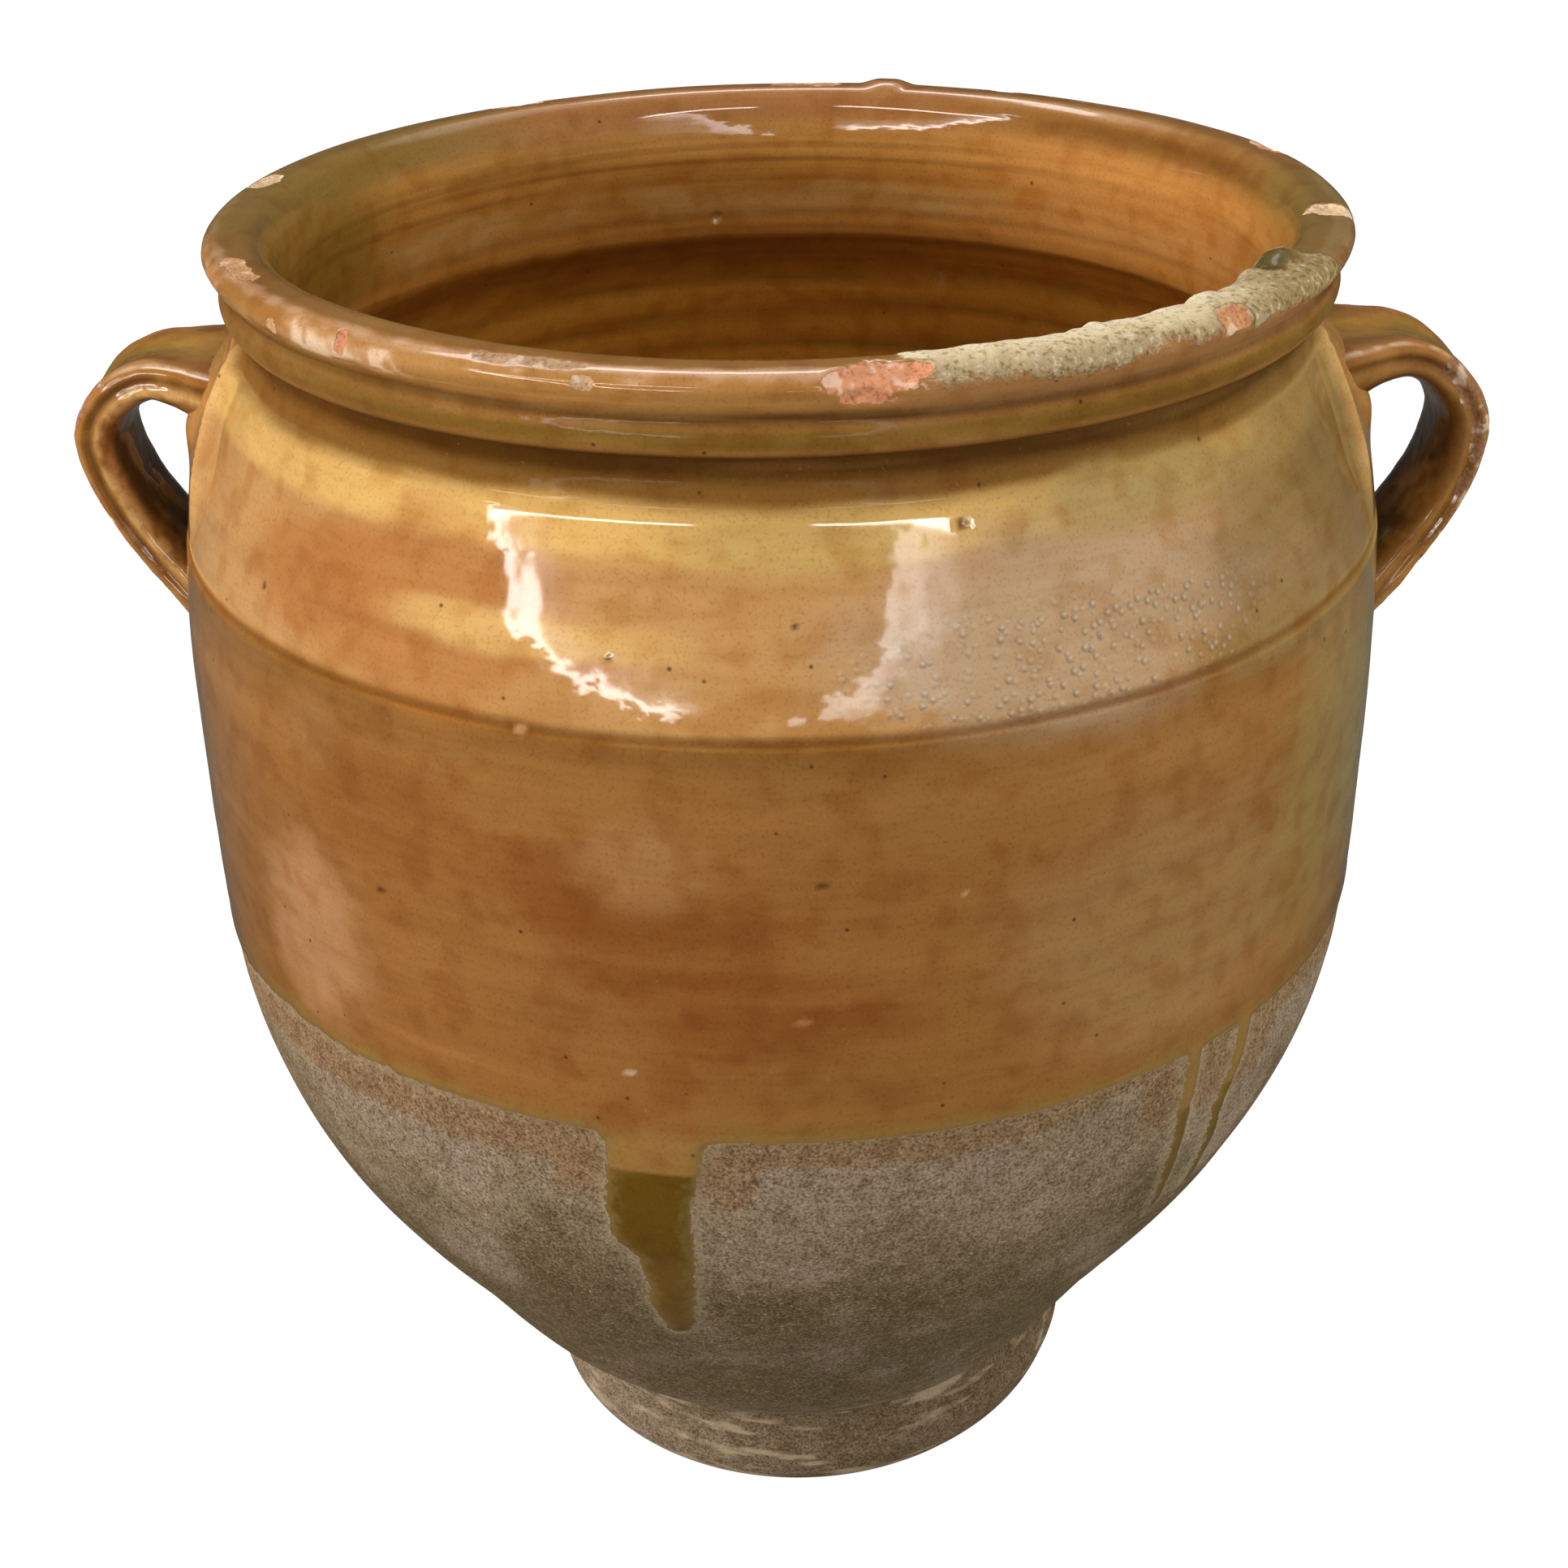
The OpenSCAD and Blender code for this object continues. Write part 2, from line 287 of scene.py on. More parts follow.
class Finish:
    """One material. Settings that are the same all over go straight on the shader's sockets."""
    def __init__(self, name, **settings):
        self.material = bpy.data.materials.new(name)
        self.material.use_nodes = True
        self.tree = self.material.node_tree
        self.shader = self.tree.nodes["Principled BSDF"]
        self.set(**settings)

    def set(self, **settings):
        for socket, value in settings.items():
            self.shader.inputs[socket.replace("_", " ")].default_value = value

    def node(self, kind, settings=None, inputs=None, out=0):
        """Adds a node of a kind, with its settings first and then the values or wires of its sockets. A
        socket is called by its name, or by its number where several share one."""
        made = self.tree.nodes.new(kind)
        for key, value in (settings or {}).items():
            setattr(made, key, value)
        for key, value in (inputs or {}).items():
            if isinstance(value, Wire):
                self.tree.links.new(value.socket, made.inputs[key])
            else:
                made.inputs[key].default_value = value
        return Wire(self, made.outputs[out])

    def blend(self, first, second, share, way="MIX"):
        """Colour first turning into second by a share."""
        first, second = [c if isinstance(c, Wire) else (*c, 1) for c in (first, second)]
        return self.node("ShaderNodeMix", {"data_type": "RGBA", "blend_type": way},
                         {0: share, 6: first, 7: second}, 2)

    def mixed(self, share, first, second):
        """Shader first turning into second by a share."""
        return self.node("ShaderNodeMixShader", {}, {0: share, 1: first, 2: second})

    def place(self, across=1.0, upright=1.0, offset=0.0):
        """Position on the pot in millimetres, squeezed level with the table or upright, and moved by an
        offset so that no two noises are alike."""
        spot = self.node("ShaderNodeTexCoord", out="Object")
        scale = (1000 * across, 1000 * across, 1000 * upright)
        return self.node("ShaderNodeVectorMath", {"operation": "MULTIPLY_ADD"},
                         {0: spot, 1: scale, 2: (offset, 2 * offset, 3 * offset)})

    def at(self, axis):
        """One of the position's three numbers in millimetres: X to the right, Y to the back and Z up."""
        return self.node("ShaderNodeSeparateXYZ", {}, {"Vector": self.place()}, axis)

    def cloud(self, size, detail, across=1.0, offset=0.0):
        """Soft noise from 0 to 1 with spots of about a size in millimetres."""
        return self.node("ShaderNodeTexNoise", {}, {"Vector": self.place(across, 1.0, 50 * offset),
                                                    "Scale": 1 / size, "Detail": detail, "Roughness": 0.6})

    def cells(self, size, offset):
        """The space cut into random cells of about a size in millimetres: how far a point is from its cell's
        own middle, and a random value from 0 to 1 for the cell."""
        near = self.node("ShaderNodeTexVoronoi", {}, {"Vector": self.place(1, 1, 50 * offset),
                                                      "Scale": 1 / size})
        pick = Wire(self, near.socket.node.outputs["Color"])
        return near, self.node("ShaderNodeSeparateColor", {}, {"Color": pick})

    def marked(self, name):
        """A share that the piece's own mesh carries."""
        return self.node("ShaderNodeAttribute", {"attribute_name": name}, out="Fac")

    def tinted(self, name):
        """A colour that the piece's own mesh carries."""
        return self.node("ShaderNodeAttribute", {"attribute_name": name}, out="Color")

    def feed(self, height, **wires):
        """Varying values into the shader's sockets, and relief from a height in millimetres."""
        bump = {"Height": height, "Distance": 0.001, "Strength": 1.0}
        wires["Normal"] = self.node("ShaderNodeBump", {}, bump)
        for socket, wire in wires.items():
            self.tree.links.new(wire.socket, self.shader.inputs[socket.replace("_", " ")])
        return self.material

    def feed_shine(self, colour, height, shine):
        """Wet and glassy where the share of shine is 1, dry and rough where it is 0."""
        return self.feed(height, Base_Color=colour, Roughness=DRY - shine * (DRY - GLASSY), Coat_Weight=shine)


# The clay is buff and gritty, darker and browner low down, with pinkish patches. The glaze over
# it is a clear lead glaze that fires honey to olive, with a hard, smooth coat.
EARTHENWARE = {"IOR": 1.5, "Coat_Roughness": 0.05, "Coat_IOR": 1.5, "Specular_IOR_Level": 0.15}
DRY = 0.92
GLASSY = 0.42
CLAY = (0.300, 0.225, 0.152)
BROWN_LOW_CLAY = (0.162, 0.117, 0.060)
PINK_CLAY = (0.325, 0.248, 0.196)


def glaze_over(fired):
    """The glaze's colour from the mesh, mottled, brushed and speckled with pinholes, and its small relief."""
    mottled = fired.cloud(7.0, 1, offset=2)
    brushed = fired.cloud(1.6, 1, across=0.14, offset=1)
    speckled = fired.cloud(0.6, 1, offset=4)
    near, pick = fired.cells(5.5, 5)
    holes = near.rise(0.10, 0.035) * pick.rise(0.24, 0.22)
    honey = fired.tinted("glaze_tint")
    honey = fired.blend(honey, (0.80, 0.66, 0.46), mottled.rise(0.45, 0.70) * 0.6, "MULTIPLY")
    honey = fired.blend(honey, (0.84, 0.74, 0.56), brushed.rise(0.44, 0.68) * 0.28, "MULTIPLY")
    honey = fired.blend(honey, (0.66, 0.56, 0.42), speckled.rise(0.50, 0.78) * 0.5, "MULTIPLY")
    honey = fired.blend(honey, (0.70, 0.50, 0.26), speckled.rise(0.30, 0.16) * 0.16)
    honey = fired.blend(honey, (0.035, 0.02, 0.008), holes * 0.8)
    return honey, mottled * 0.09


def clay_under(fired, with_foot):
    """Bare buff clay, pitted and gritty, darker and browner down to the foot and, with the foot, scraped
    and rubbed pale round it, with painted shade on the foot's right side. Gives back its colour and its
    relief."""
    height_mm = fired.at("Z")
    patchy = fired.cloud(24.0, 1, offset=10)
    grit = fired.cloud(0.6, 2, offset=7)
    crumbly = fired.cloud(3.2, 2, offset=8)
    low = (height_mm + (patchy - 0.5) * 90).rise(134.0, 88.0)
    clay = fired.blend(CLAY, BROWN_LOW_CLAY, low * height_mm.rise(4.0, 50.0))
    clay = fired.blend(clay, PINK_CLAY, patchy.rise(0.46, 0.76) * 0.5)
    clay = fired.blend(clay, (0.50, 0.46, 0.42), grit.rise(0.46, 0.64), "MULTIPLY")
    clay = fired.blend(clay, (0.80, 0.71, 0.60), grit.rise(0.42, 0.24) * 0.36)
    clay = fired.blend(clay, (0.62, 0.56, 0.46), crumbly.rise(0.42, 0.66) * 0.6, "MULTIPLY")
    if with_foot:
        rubbed = fired.cloud(3.4, 2, across=0.22, offset=12)
        # Painted shade: the foot is darker on its right side, away from the light.
        shaded_right_foot = height_mm.rise(34.0, 22.0) * fired.at("X").rise(-50.0, 30.0)
        scraped = (rubbed + height_mm.rise(7.0, 0.5) * 0.14).rise(0.52, 0.68) * height_mm.rise(46.0, 12.0)
        clay = fired.blend(clay, (0.66, 0.62, 0.54), shaded_right_foot, "MULTIPLY")
        clay = fired.blend(clay, (0.52, 0.41, 0.28), scraped * 0.65)
    return clay, grit * 0.30 + crumbly * 0.12


def glaze_edge_finish(fired):
    """Glaze above its ragged edge and clay below: a thin olive line in the glaze, and clay that the glaze
    has stained and warmed for a centimetre under it."""
    colour, height = glaze_over(fired)
    ground, rough = clay_under(fired, False)
    to_edge = fired.marked("to_glaze_edge")
    ragged = fired.cloud(1.8, 1, offset=0) - 0.5
    shine = (to_edge + ragged * 2.4).rise(-0.12, 0.12)
    colour = fired.blend(colour, (0.24, 0.165, 0.05), (to_edge + ragged * 5).rise(3.2, 0.3) * 0.45)
    warm = to_edge.rise(-11.5, -9.5) * fired.at("Z").rise(126.0, 134.0)
    ground = fired.blend(ground, (0.94, 0.80, 0.64), warm, "MULTIPLY")
    ground = fired.blend(ground, (0.40, 0.32, 0.20), (to_edge + ragged * 6).rise(-3.4, 0.8) * 0.40)
    return fired.feed_shine(fired.blend(ground, colour, shine), height * shine + rough * (1 - shine), shine)


def blistered_finish(fired):
    """The shoulder's glaze: it boiled in flocks of little domes and open pits right of the front, and is
    dull where the mesh says so."""
    colour, height = glaze_over(fired)
    flocks = fired.cloud(9.0, 1, offset=16).rise(0.30, 0.48) * fired.marked("blister")
    near, pick = fired.cells(1.8, 15)
    swollen = near.rise(0.52, 0.0) * pick.rise(0.82, 0.80) * flocks
    pits = near.rise(0.15, 0.05) * pick.rise(0.18, 0.16) * flocks
    colour = fired.blend(colour, (0.78, 0.64, 0.48), swollen * 0.50)
    colour = fired.blend(colour, (0.12, 0.08, 0.04), pits * 0.75)
    return fired.feed_shine(colour, height + swollen * 0.72, 1 - fired.marked("matt"))


bare = Finish("bare_clay", **EARTHENWARE, Roughness=DRY, Coat_Weight=0.0)
clay_colour, clay_relief = clay_under(bare, True)
BARE = bare.feed(clay_relief, Base_Color=clay_colour)
honey = Finish("honey_glaze", **EARTHENWARE, Roughness=GLASSY, Coat_Weight=1.0)
honey_colour, honey_relief = glaze_over(honey)
GLAZED = honey.feed(honey_relief, Base_Color=honey_colour)
EDGE = glaze_edge_finish(Finish("glaze_edge_on_clay", **EARTHENWARE))
BLISTERED = blistered_finish(Finish("blistered_glaze", **EARTHENWARE))


def fired_piece(name, finish, points, marks, tints, normals=None, caps=(False, False)):
    """A mesh through rows of points in millimetres: four-sided faces between neighbours, closed round each
    row, and a fan of triangles across the first and the last row where asked. Marks are shares and tints
    are colours, one to a point."""
    rows, columns = points.shape[:2]
    places = [points.reshape(-1, 3)]
    first = np.arange((rows - 1) * columns).reshape(rows - 1, columns)
    beside = np.roll(first, -1, axis=1)
    quads = np.stack([first, beside, beside + columns, first + columns], -1).reshape(-1, 4)
    fans = []
    count = rows * columns
    for cap, row in zip(caps, (0, rows - 1)):
        if cap:
            ring = row * columns + np.arange(columns)
            following = np.roll(ring, -1)
            middle = np.full(columns, count)
            fans.append(np.stack([middle, following, ring] if row == 0 else [middle, ring, following], 1))
            places.append(points[row].mean(0)[None])
            count += 1
    corners = np.concatenate([quads.ravel(), *[fan.ravel() for fan in fans]])
    sides = np.concatenate([np.full(len(quads), 4), *[np.full(len(fan), 3) for fan in fans]]).astype(int)
    mesh = bpy.data.meshes.new(name)
    mesh.vertices.add(count)
    mesh.vertices.foreach_set("co", (np.concatenate(places) / 1000).ravel())
    mesh.loops.add(len(corners))
    mesh.loops.foreach_set("vertex_index", corners)
    mesh.polygons.add(len(sides))
    mesh.polygons.foreach_set("loop_start", np.r_[0, np.cumsum(sides)[:-1]])
    mesh.polygons.foreach_set("loop_total", sides)
    mesh.polygons.foreach_set("use_smooth", np.ones(len(sides), bool))
    mesh.update(calc_edges=True)
    extra = count - rows * columns
    for key, value in marks.items():
        value = np.broadcast_to(value, (rows, columns)).ravel()
        made = mesh.attributes.new(key, "FLOAT", "POINT")
        made.data.foreach_set("value", np.r_[value, np.full(extra, value[-1])])
    for key, value in tints.items():
        value = np.broadcast_to(value, (rows, columns, 3)).reshape(-1, 3)
        value = np.concatenate([value, np.repeat(value[-1:], extra, 0)])
        made = mesh.attributes.new(key, "FLOAT_COLOR", "POINT")
        made.data.foreach_set("color", np.column_stack([value, np.ones(count)]).ravel())
    if normals is not None:
        poles = [normals[row].mean(0)[None] for cap, row in zip(caps, (0, rows - 1)) if cap]
        mesh.normals_split_custom_set_from_vertices(np.concatenate([normals.reshape(-1, 3), *poles]))
    mesh.materials.append(finish)
    piece = bpy.data.objects.new(name, mesh)
    bpy.context.collection.objects.link(piece)
    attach(piece, "root")
    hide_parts("pot")


def turned(name, finish, line, columns, dress, start, end, caps=(False, False)):
    """Turns the outline's rows from start to end round the middle and dresses them. The dress gives the
    relief along the outline's outward side, the marks and the tints, and the wall's lean comes last. The
    normals are the cross product of the ways round and up, with a neighbour row at each end, so that two
    bands meet without a seam."""
    low, high = max(start - 1, 0), min(end + 1, len(line) - 1)
    part = line[low:high + 1]
    run = np.gradient(line, axis=0)[low:high + 1]
    run /= np.maximum(np.hypot(*run.T), 1e-9)[:, None]
    out = np.column_stack([run[:, 1], -run[:, 0]])
    angle = np.linspace(-np.pi, np.pi, columns, endpoint=False)[None]
    radius, height = [np.broadcast_to(part[:, k:k + 1], (len(part), columns)) for k in (0, 1)]
    azimuth = np.broadcast_to(np.degrees(angle), height.shape)
    across, upright = [np.broadcast_to(out[:, k:k + 1], height.shape) for k in (0, 1)]
    points = np.stack([radius * np.cos(angle), radius * np.sin(angle), height], -1)
    relief, marks, tints = dress(points, radius, azimuth, height)
    outward = np.stack([across * np.cos(angle), across * np.sin(angle), upright], -1)
    points = points + relief[..., None] * outward
    points[..., 0] -= lean(height)
    round_way = np.roll(points, -1, axis=1) - np.roll(points, 1, axis=1)
    up_way = np.gradient(points, axis=0)
    normals = np.cross(round_way, up_way)
    normals /= np.maximum(np.linalg.norm(normals, axis=-1), 1e-12)[..., None]
    kept = slice(start - low, end - low + 1)
    marks = {key: np.broadcast_to(value, height.shape)[kept] for key, value in marks.items()}
    tints = {key: np.broadcast_to(value, points.shape)[kept] for key, value in tints.items()}
    fired_piece(name, finish, points[kept], marks, tints, normals[kept], caps)


def swell(points):
    """Slow bulges that the whole wall shares, so that its bands meet: up to a third of a millimetre."""
    return 0.35 * rough_field(points, 46, 11, (1.6, 1.6, 1), 2)


# Round the handles' roots the clay is smeared on to the shoulder as a low, thumbed pad.
ROOT_HEIGHTS = [226, 234, 238.5, 243.4, 248.4, 254.5, 260]
ROOT_HALF_WIDTHS = [38, 40, 38.5, 34.5, 31, 30.5, 29]
# The wall rises round each root of a strap: from and to which height, half the width, how far it
# stands out, and how far it fades.
ROOT_FILLETS = [(242, 249, 13, 2.6, 6.0), (201, 213, 11, 1.0, 4.0)]
DULL_SPOT = (-57, 236, 42, 17)
BLISTER_SPOT = (-65, 231.5, 46, 12)


def with_roots(relief, colour, radius, azimuth, height, wave):
    """The wall's relief and colour with the smeared pads and fillets on both sides. A pale line along each
    pad's edge is a painted highlight.
    """
    below_collar = smooth(height, 265, 259)
    for side in (0, 180):
        off = np.radians(np.abs(apart(azimuth, side))) * radius
        broad = np.interp(height, ROOT_HEIGHTS, ROOT_HALF_WIDTHS) - off + 1.2 * wave
        root = smooth(broad, -2.0, 3.0) * smooth(height, 224, 241) * below_collar
        relief = relief + root * (1.7 + 0.9 * bump_at(broad, 2.2, 2.2))
        for low, high, half, stand, fade in ROOT_FILLETS:
            past = np.maximum(np.maximum(height - high, 0) * 1.6, np.maximum(low - height, 0))
            past = np.hypot(past, np.maximum(off - half, 0)) + 0.6 * wave
            relief = relief + stand * bump_at(past, 0, fade) * below_collar
        colour = washed(colour, (188, 132, 74), root * smooth(broad, 3, 6) * 0.75)
        # Painted highlight: a pale line along the pad's edge.
        colour = washed(colour, (224, 176, 112), root * bump_at(broad, 1.5, 2.0) * 0.8)
    return relief, colour


def outside(points, radius, azimuth, height):
    """The outer wall: slow throwing rings, soft lumps, the glaze's own thickness, which is fullest at its
    edge and in its runs, the incised line, a ridge round the foot, and the handles' roots. It is dull in a
    spot right of the front, under the incised line and right under the collar."""
    inside, runs = glaze_reach(points, radius, azimuth, height)
    wave = rough_field(points, 11, 12, (4, 4, 0.8), 2)
    dimple = random_field(points, 6.5, 13, (1.6, 1.6, 1))
    glaze = smooth(inside, -0.3, 0.5)
    relief = (0.10 - 0.055 * smooth(height, 200, 222)) * wave * smooth(height, 20, 60) + 0.04 * dimple * glaze
    relief = relief * smooth(height, 266.5, 263) + glaze * (0.25 + 0.1 * smooth(inside, 3.5, 0.8))
    for share in runs:
        relief = relief + 0.45 * smooth(share, -0.2, 3.0) * smooth(height, 150, 140)
    line_at = INCISED_LINE + 0.35 * np.sin(np.radians(azimuth + 40)) + 0.25 * random_field(points, 30, 14)
    deep = 0.6 + 0.3 * random_field(points, 22, 15)
    cut = smooth(height, line_at + 1.9, line_at) * smooth(height, line_at - 0.7, line_at - 0.2)
    relief = relief - deep * cut
    relief = relief + 0.35 * bump_at(height - 1.2 * np.sin(np.radians(azimuth)), 11.5, 2.2)
    relief = (relief + swell(points)) * smooth(height, 0.5, 4)
    above_line = smooth(height, 224, 226)
    dull = smooth(away(azimuth, radius, height, *DULL_SPOT) + 0.3 * wave, 1.05, 0.72) * above_line
    blister = smooth(away(azimuth, radius, height, *BLISTER_SPOT) + 0.25 * wave, 1.05, 0.70) * above_line
    dull_line = smooth(height, line_at + 2.6, line_at + 1.8) * smooth(height, line_at - 2.2, line_at - 1.2)
    dull_neck = smooth(height, 257.0, 259.0)
    colour = glaze_colour(points, radius, azimuth, height, inside, runs)
    colour = washed(colour, (112, 68, 24), 0.6 * cut)
    uneven = 0.5 * random_field(points, 0.8, 17)
    for at, level, size, deep, shade in MARKS:
        spot = away(azimuth, radius, height, at, level, size, size / 1.3) + uneven
        relief = relief - deep * smooth(spot, 1.3, 0.3)
        colour = washed(colour, shade, smooth(spot, 1.4, 0.5) * 0.85)
    relief, colour = with_roots(relief, colour, radius, azimuth, height, wave)
    matt = np.maximum(np.maximum(0.6 * dull, dull_line), 0.94 * dull_neck)
    return relief, {"to_glaze_edge": inside, "blister": blister, "matt": matt}, {"glaze_tint": colour}


def wall_row(height):
    """The row of the outer wall nearest to a height, the underside left out."""
    return int(np.argmin(np.abs(wall[:, 1] - height) + (wall[:, 0] < 56) * 999))


below = outline(FOOT, 0.9)
belly = outline(BELLY, 1.0)
shoulder = outline(SHOULDER, 0.52)
collar = outline(COLLAR, 0.56)
wall = np.concatenate([below, belly, shoulder, collar[:2]])
ring_row = int(np.argmin(np.hypot(*(below - STANDING_RING).T)))
clay_row, edge_row = wall_row(BARE_CLAY_TO), wall_row(GLAZE_EDGE_TO)
line_row = len(below) + len(belly)
neck_row = line_row + len(shoulder)
ROUND_WALL = 720
turned("pot_underside", BARE, wall, ROUND_WALL, outside, 1, ring_row, (True, False))
turned("pot_foot", BARE, wall, ROUND_WALL, outside, ring_row, clay_row)
turned("pot_belly", EDGE, wall, ROUND_WALL, outside, clay_row, edge_row)
turned("pot_glazed_belly", GLAZED, wall, ROUND_WALL, outside, edge_row, line_row)
turned("pot_shoulder", BLISTERED, wall, ROUND_WALL, outside, line_row, neck_row)

# The lip and collar. Under the lip stand a sharp step, a bead and a shallow groove, and the
# rim is rolled outward, nearly flat on top, and glazed. It has been knocked and worn for years:
# chips show salmon clay, and a limy crust has grown on it right of the front.
# The hollow's own line, from the lip's inner edge to the floor, starts where the lip's ends.
HOLLOW = [((96.6, 270.5), (99.5, 248), 183, 166), ((99.5, 248), (112.8, 220), 142, 166),
          ((112.8, 220), (115.2, 160), 166, 180), ((115.2, 160), (103.5, 96.2), 180, 205),
          ((103.5, 96.2), (82.2, 60.5), 205, 213), ((82.2, 60.5), (38, 13), 213, 262),
          ((38, 13), (0, 12.6), 266, 270)]
WIDEST_OF_LIP = (109, 278.6)
# The lip's skin stands this much past its outline, in millimetres, and so does the hollow's top.
SKIN = 0.55
# Chips: direction, millimetres over the lip from its widest line, half the width and height,
# depth, and colour.
CHIPS = [(-82.4, 1.6, 7.2, 3.9, 1.2, (216, 150, 112)), (-47.0, 1.6, 3.8, 3.0, 0.9, (206, 146, 106)),
         (-130.8, 0.8, 1.5, 1.8, 0.4, (198, 136, 100)), (-154.5, 4.6, 9.5, 1.8, 0.25, (208, 158, 114)),
         (170, 5.0, 5.2, 2.6, 0.7, (236, 204, 162)), (-9.5, 4.6, 4.4, 4.4, 1.0, (238, 204, 164)),
         (-111.5, 3.4, 10, 1.3, 0.2, (190, 154, 118)), (-106.4, 0.8, 1.8, 1.2, 0.2, (188, 152, 116)),
         (86, 5.5, 8, 2.0, 0.2, (206, 150, 104)), (60, 3.2, 3.6, 1.6, 0.5, (222, 172, 130)),
         (124, 4.2, 6.0, 2.0, 0.5, (214, 170, 128)), (18, 3.6, 6.5, 2.4, 0.6, (214, 156, 112)),
         (-141, -0.2, 1.6, 0.9, 0.2, (204, 160, 118))]
SALMON = tone(218, 150, 112)
CRUST_FROM, CRUST_TO = -79.5, -27.5
MOSS_AT = -33.0
# Lumps in the crust: direction, millimetres over the lip, half the width and height, and how high.
CRUST_LUMPS = [(-31, 9.5, 6, 5, 1.8), (-36.5, 10.5, 3, 3, 1.0), (-45.5, 10.8, 4, 3, 0.9),
               (-60, 11, 2.5, 2.5, 0.7)]
# One lump of glaze at the back, in the same way.
GLAZE_LUMP, GLAZE_LUMP_HIGH = (75.5, 5.0, 6.4, 5.2), 1.1
# Where the lip's glaze is olive: direction and half the width in degrees.
OLIVE_ENDS = [(-12, 26), (172, 34), (140, 20)]

inner = outline(HOLLOW, 0.5)
lip_line = np.concatenate([wall[neck_row - 2:neck_row], collar, inner[:3]])
lip_way = np.r_[0, np.cumsum(np.hypot(*np.diff(lip_line, axis=0).T))]
lip_way -= lip_way[np.argmin(np.hypot(*(lip_line - WIDEST_OF_LIP).T))]
lip_first, lip_last = 2, 2 + len(collar)
LIP_END = lip_way[lip_last]


def neck_tone(points, azimuth, height):
    """The glaze inside the neck: brushed thin, with a pale band. It is lighter orange to the right, partly
    painted light where that wall faces the light, and darker olive to the left, partly painted shade."""
    streak = rough_field(points, 5, 51, (14, 14, 0.6))
    cloud = rough_field(points, 24, 52)
    fine = rough_field(points, 7, 53, (2, 2, 1))
    lines = random_field(points, 5, 54, (20, 20, 0.22))
    pale = smooth(np.abs(height - 257 + 2 * cloud) / 5.5 + 0.6 * fine, 0.9, 0.3) * smooth(cloud, -0.3, 0.25)
    brushed = smooth(lines, 0.1, 0.5) * smooth(np.abs(height - 266), 10, 2)
    orange = smooth(np.abs(apart(azimuth, 30)) + 10 * cloud, 50, 10) * smooth(height, 242, 255)
    olive = smooth(np.abs(apart(azimuth, 176)) + 8 * cloud, 34, 12) * smooth(height, 246, 254)
    colour = np.broadcast_to(tone(184, 128, 58), points.shape)
    colour = washed(colour, (206, 156, 84), smooth(height + 3 * fine, 264, 271) * 0.5)
    colour = washed(colour, (196, 154, 92), pale * 0.75)
    colour = washed(colour, (122, 74, 20), brushed * 0.4)
    colour = washed(colour, (120, 66, 16), np.clip(streak - 0.1, 0, 1) * 0.4)
    colour = washed(colour, (206, 150, 80), np.clip(-streak - 0.1, 0, 1) * 0.6)
    # Lighter orange on the right: partly painted light where the wall faces the light.
    colour = washed(colour, (228, 158, 86), orange * 0.65)
    # Darker olive on the left: partly painted shade.
    return washed(colour, (122, 98, 34), olive * 0.7)


def chipped(points, azimuth, over, wave, fine):
    """Hollows knocked out of the lip, the share of glaze that is gone, and the clay's colour in each."""
    relief, worn = np.zeros(over.shape), np.zeros(over.shape)
    clay = np.broadcast_to(SALMON, points.shape)
    mottle = (1 + 0.30 * rough_field(points, 3.2, 27))[..., None]
    for at, across, wide, tall, deep, shade in CHIPS:
        reach = away(azimuth, 107, over, at, across, wide, tall) + 0.55 * fine + 0.10 * wave
        relief = relief - deep * smooth(reach, 1.15, 0.6) + 0.25 * deep * fine * smooth(reach, 1.1, 0.9)
        gone = smooth(reach, 1.25, 0.80)
        clay = np.where((gone > worn)[..., None], tone(*shade) * mottle, clay)
        worn = np.maximum(worn, gone)
    return relief, worn, clay


def crusted(points, azimuth, over, fine):
    """How far a point lies along the crust, the share that crust covers, and its limy colour: whiter on
    top, partly the lime's own white and partly a painted highlight, darker on its outer side and browner
    to the right. Its lower border wanders."""
    drift = azimuth + 3 * fine
    along = smooth(drift, CRUST_FROM - 1, CRUST_FROM + 2.5) * smooth(drift, CRUST_TO + 1, CRUST_TO - 2)
    lower = 1.0 + 2.4 * random_field(points, 16, 24) - 1.8 * smooth(azimuth, -70, -46) + 1.3 * fine
    crust = along * smooth(over, lower - 4.0, lower + 3.0) * smooth(over, 14.5, 11.5)
    limy = np.broadcast_to(tone(228, 208, 168), points.shape)
    # Whiter on top: partly the lime's own white, partly a painted highlight.
    limy = washed(limy, (246, 234, 206), smooth(over + 3 * fine, 5, 10) * 0.8)
    limy = washed(limy, (150, 128, 94), smooth(over + 2 * fine, 5.5, 0.5) * 0.75)
    limy = washed(limy, (148, 124, 76), smooth(azimuth + 6 * fine, -50, -36) * 0.8)
    return along, crust, limy


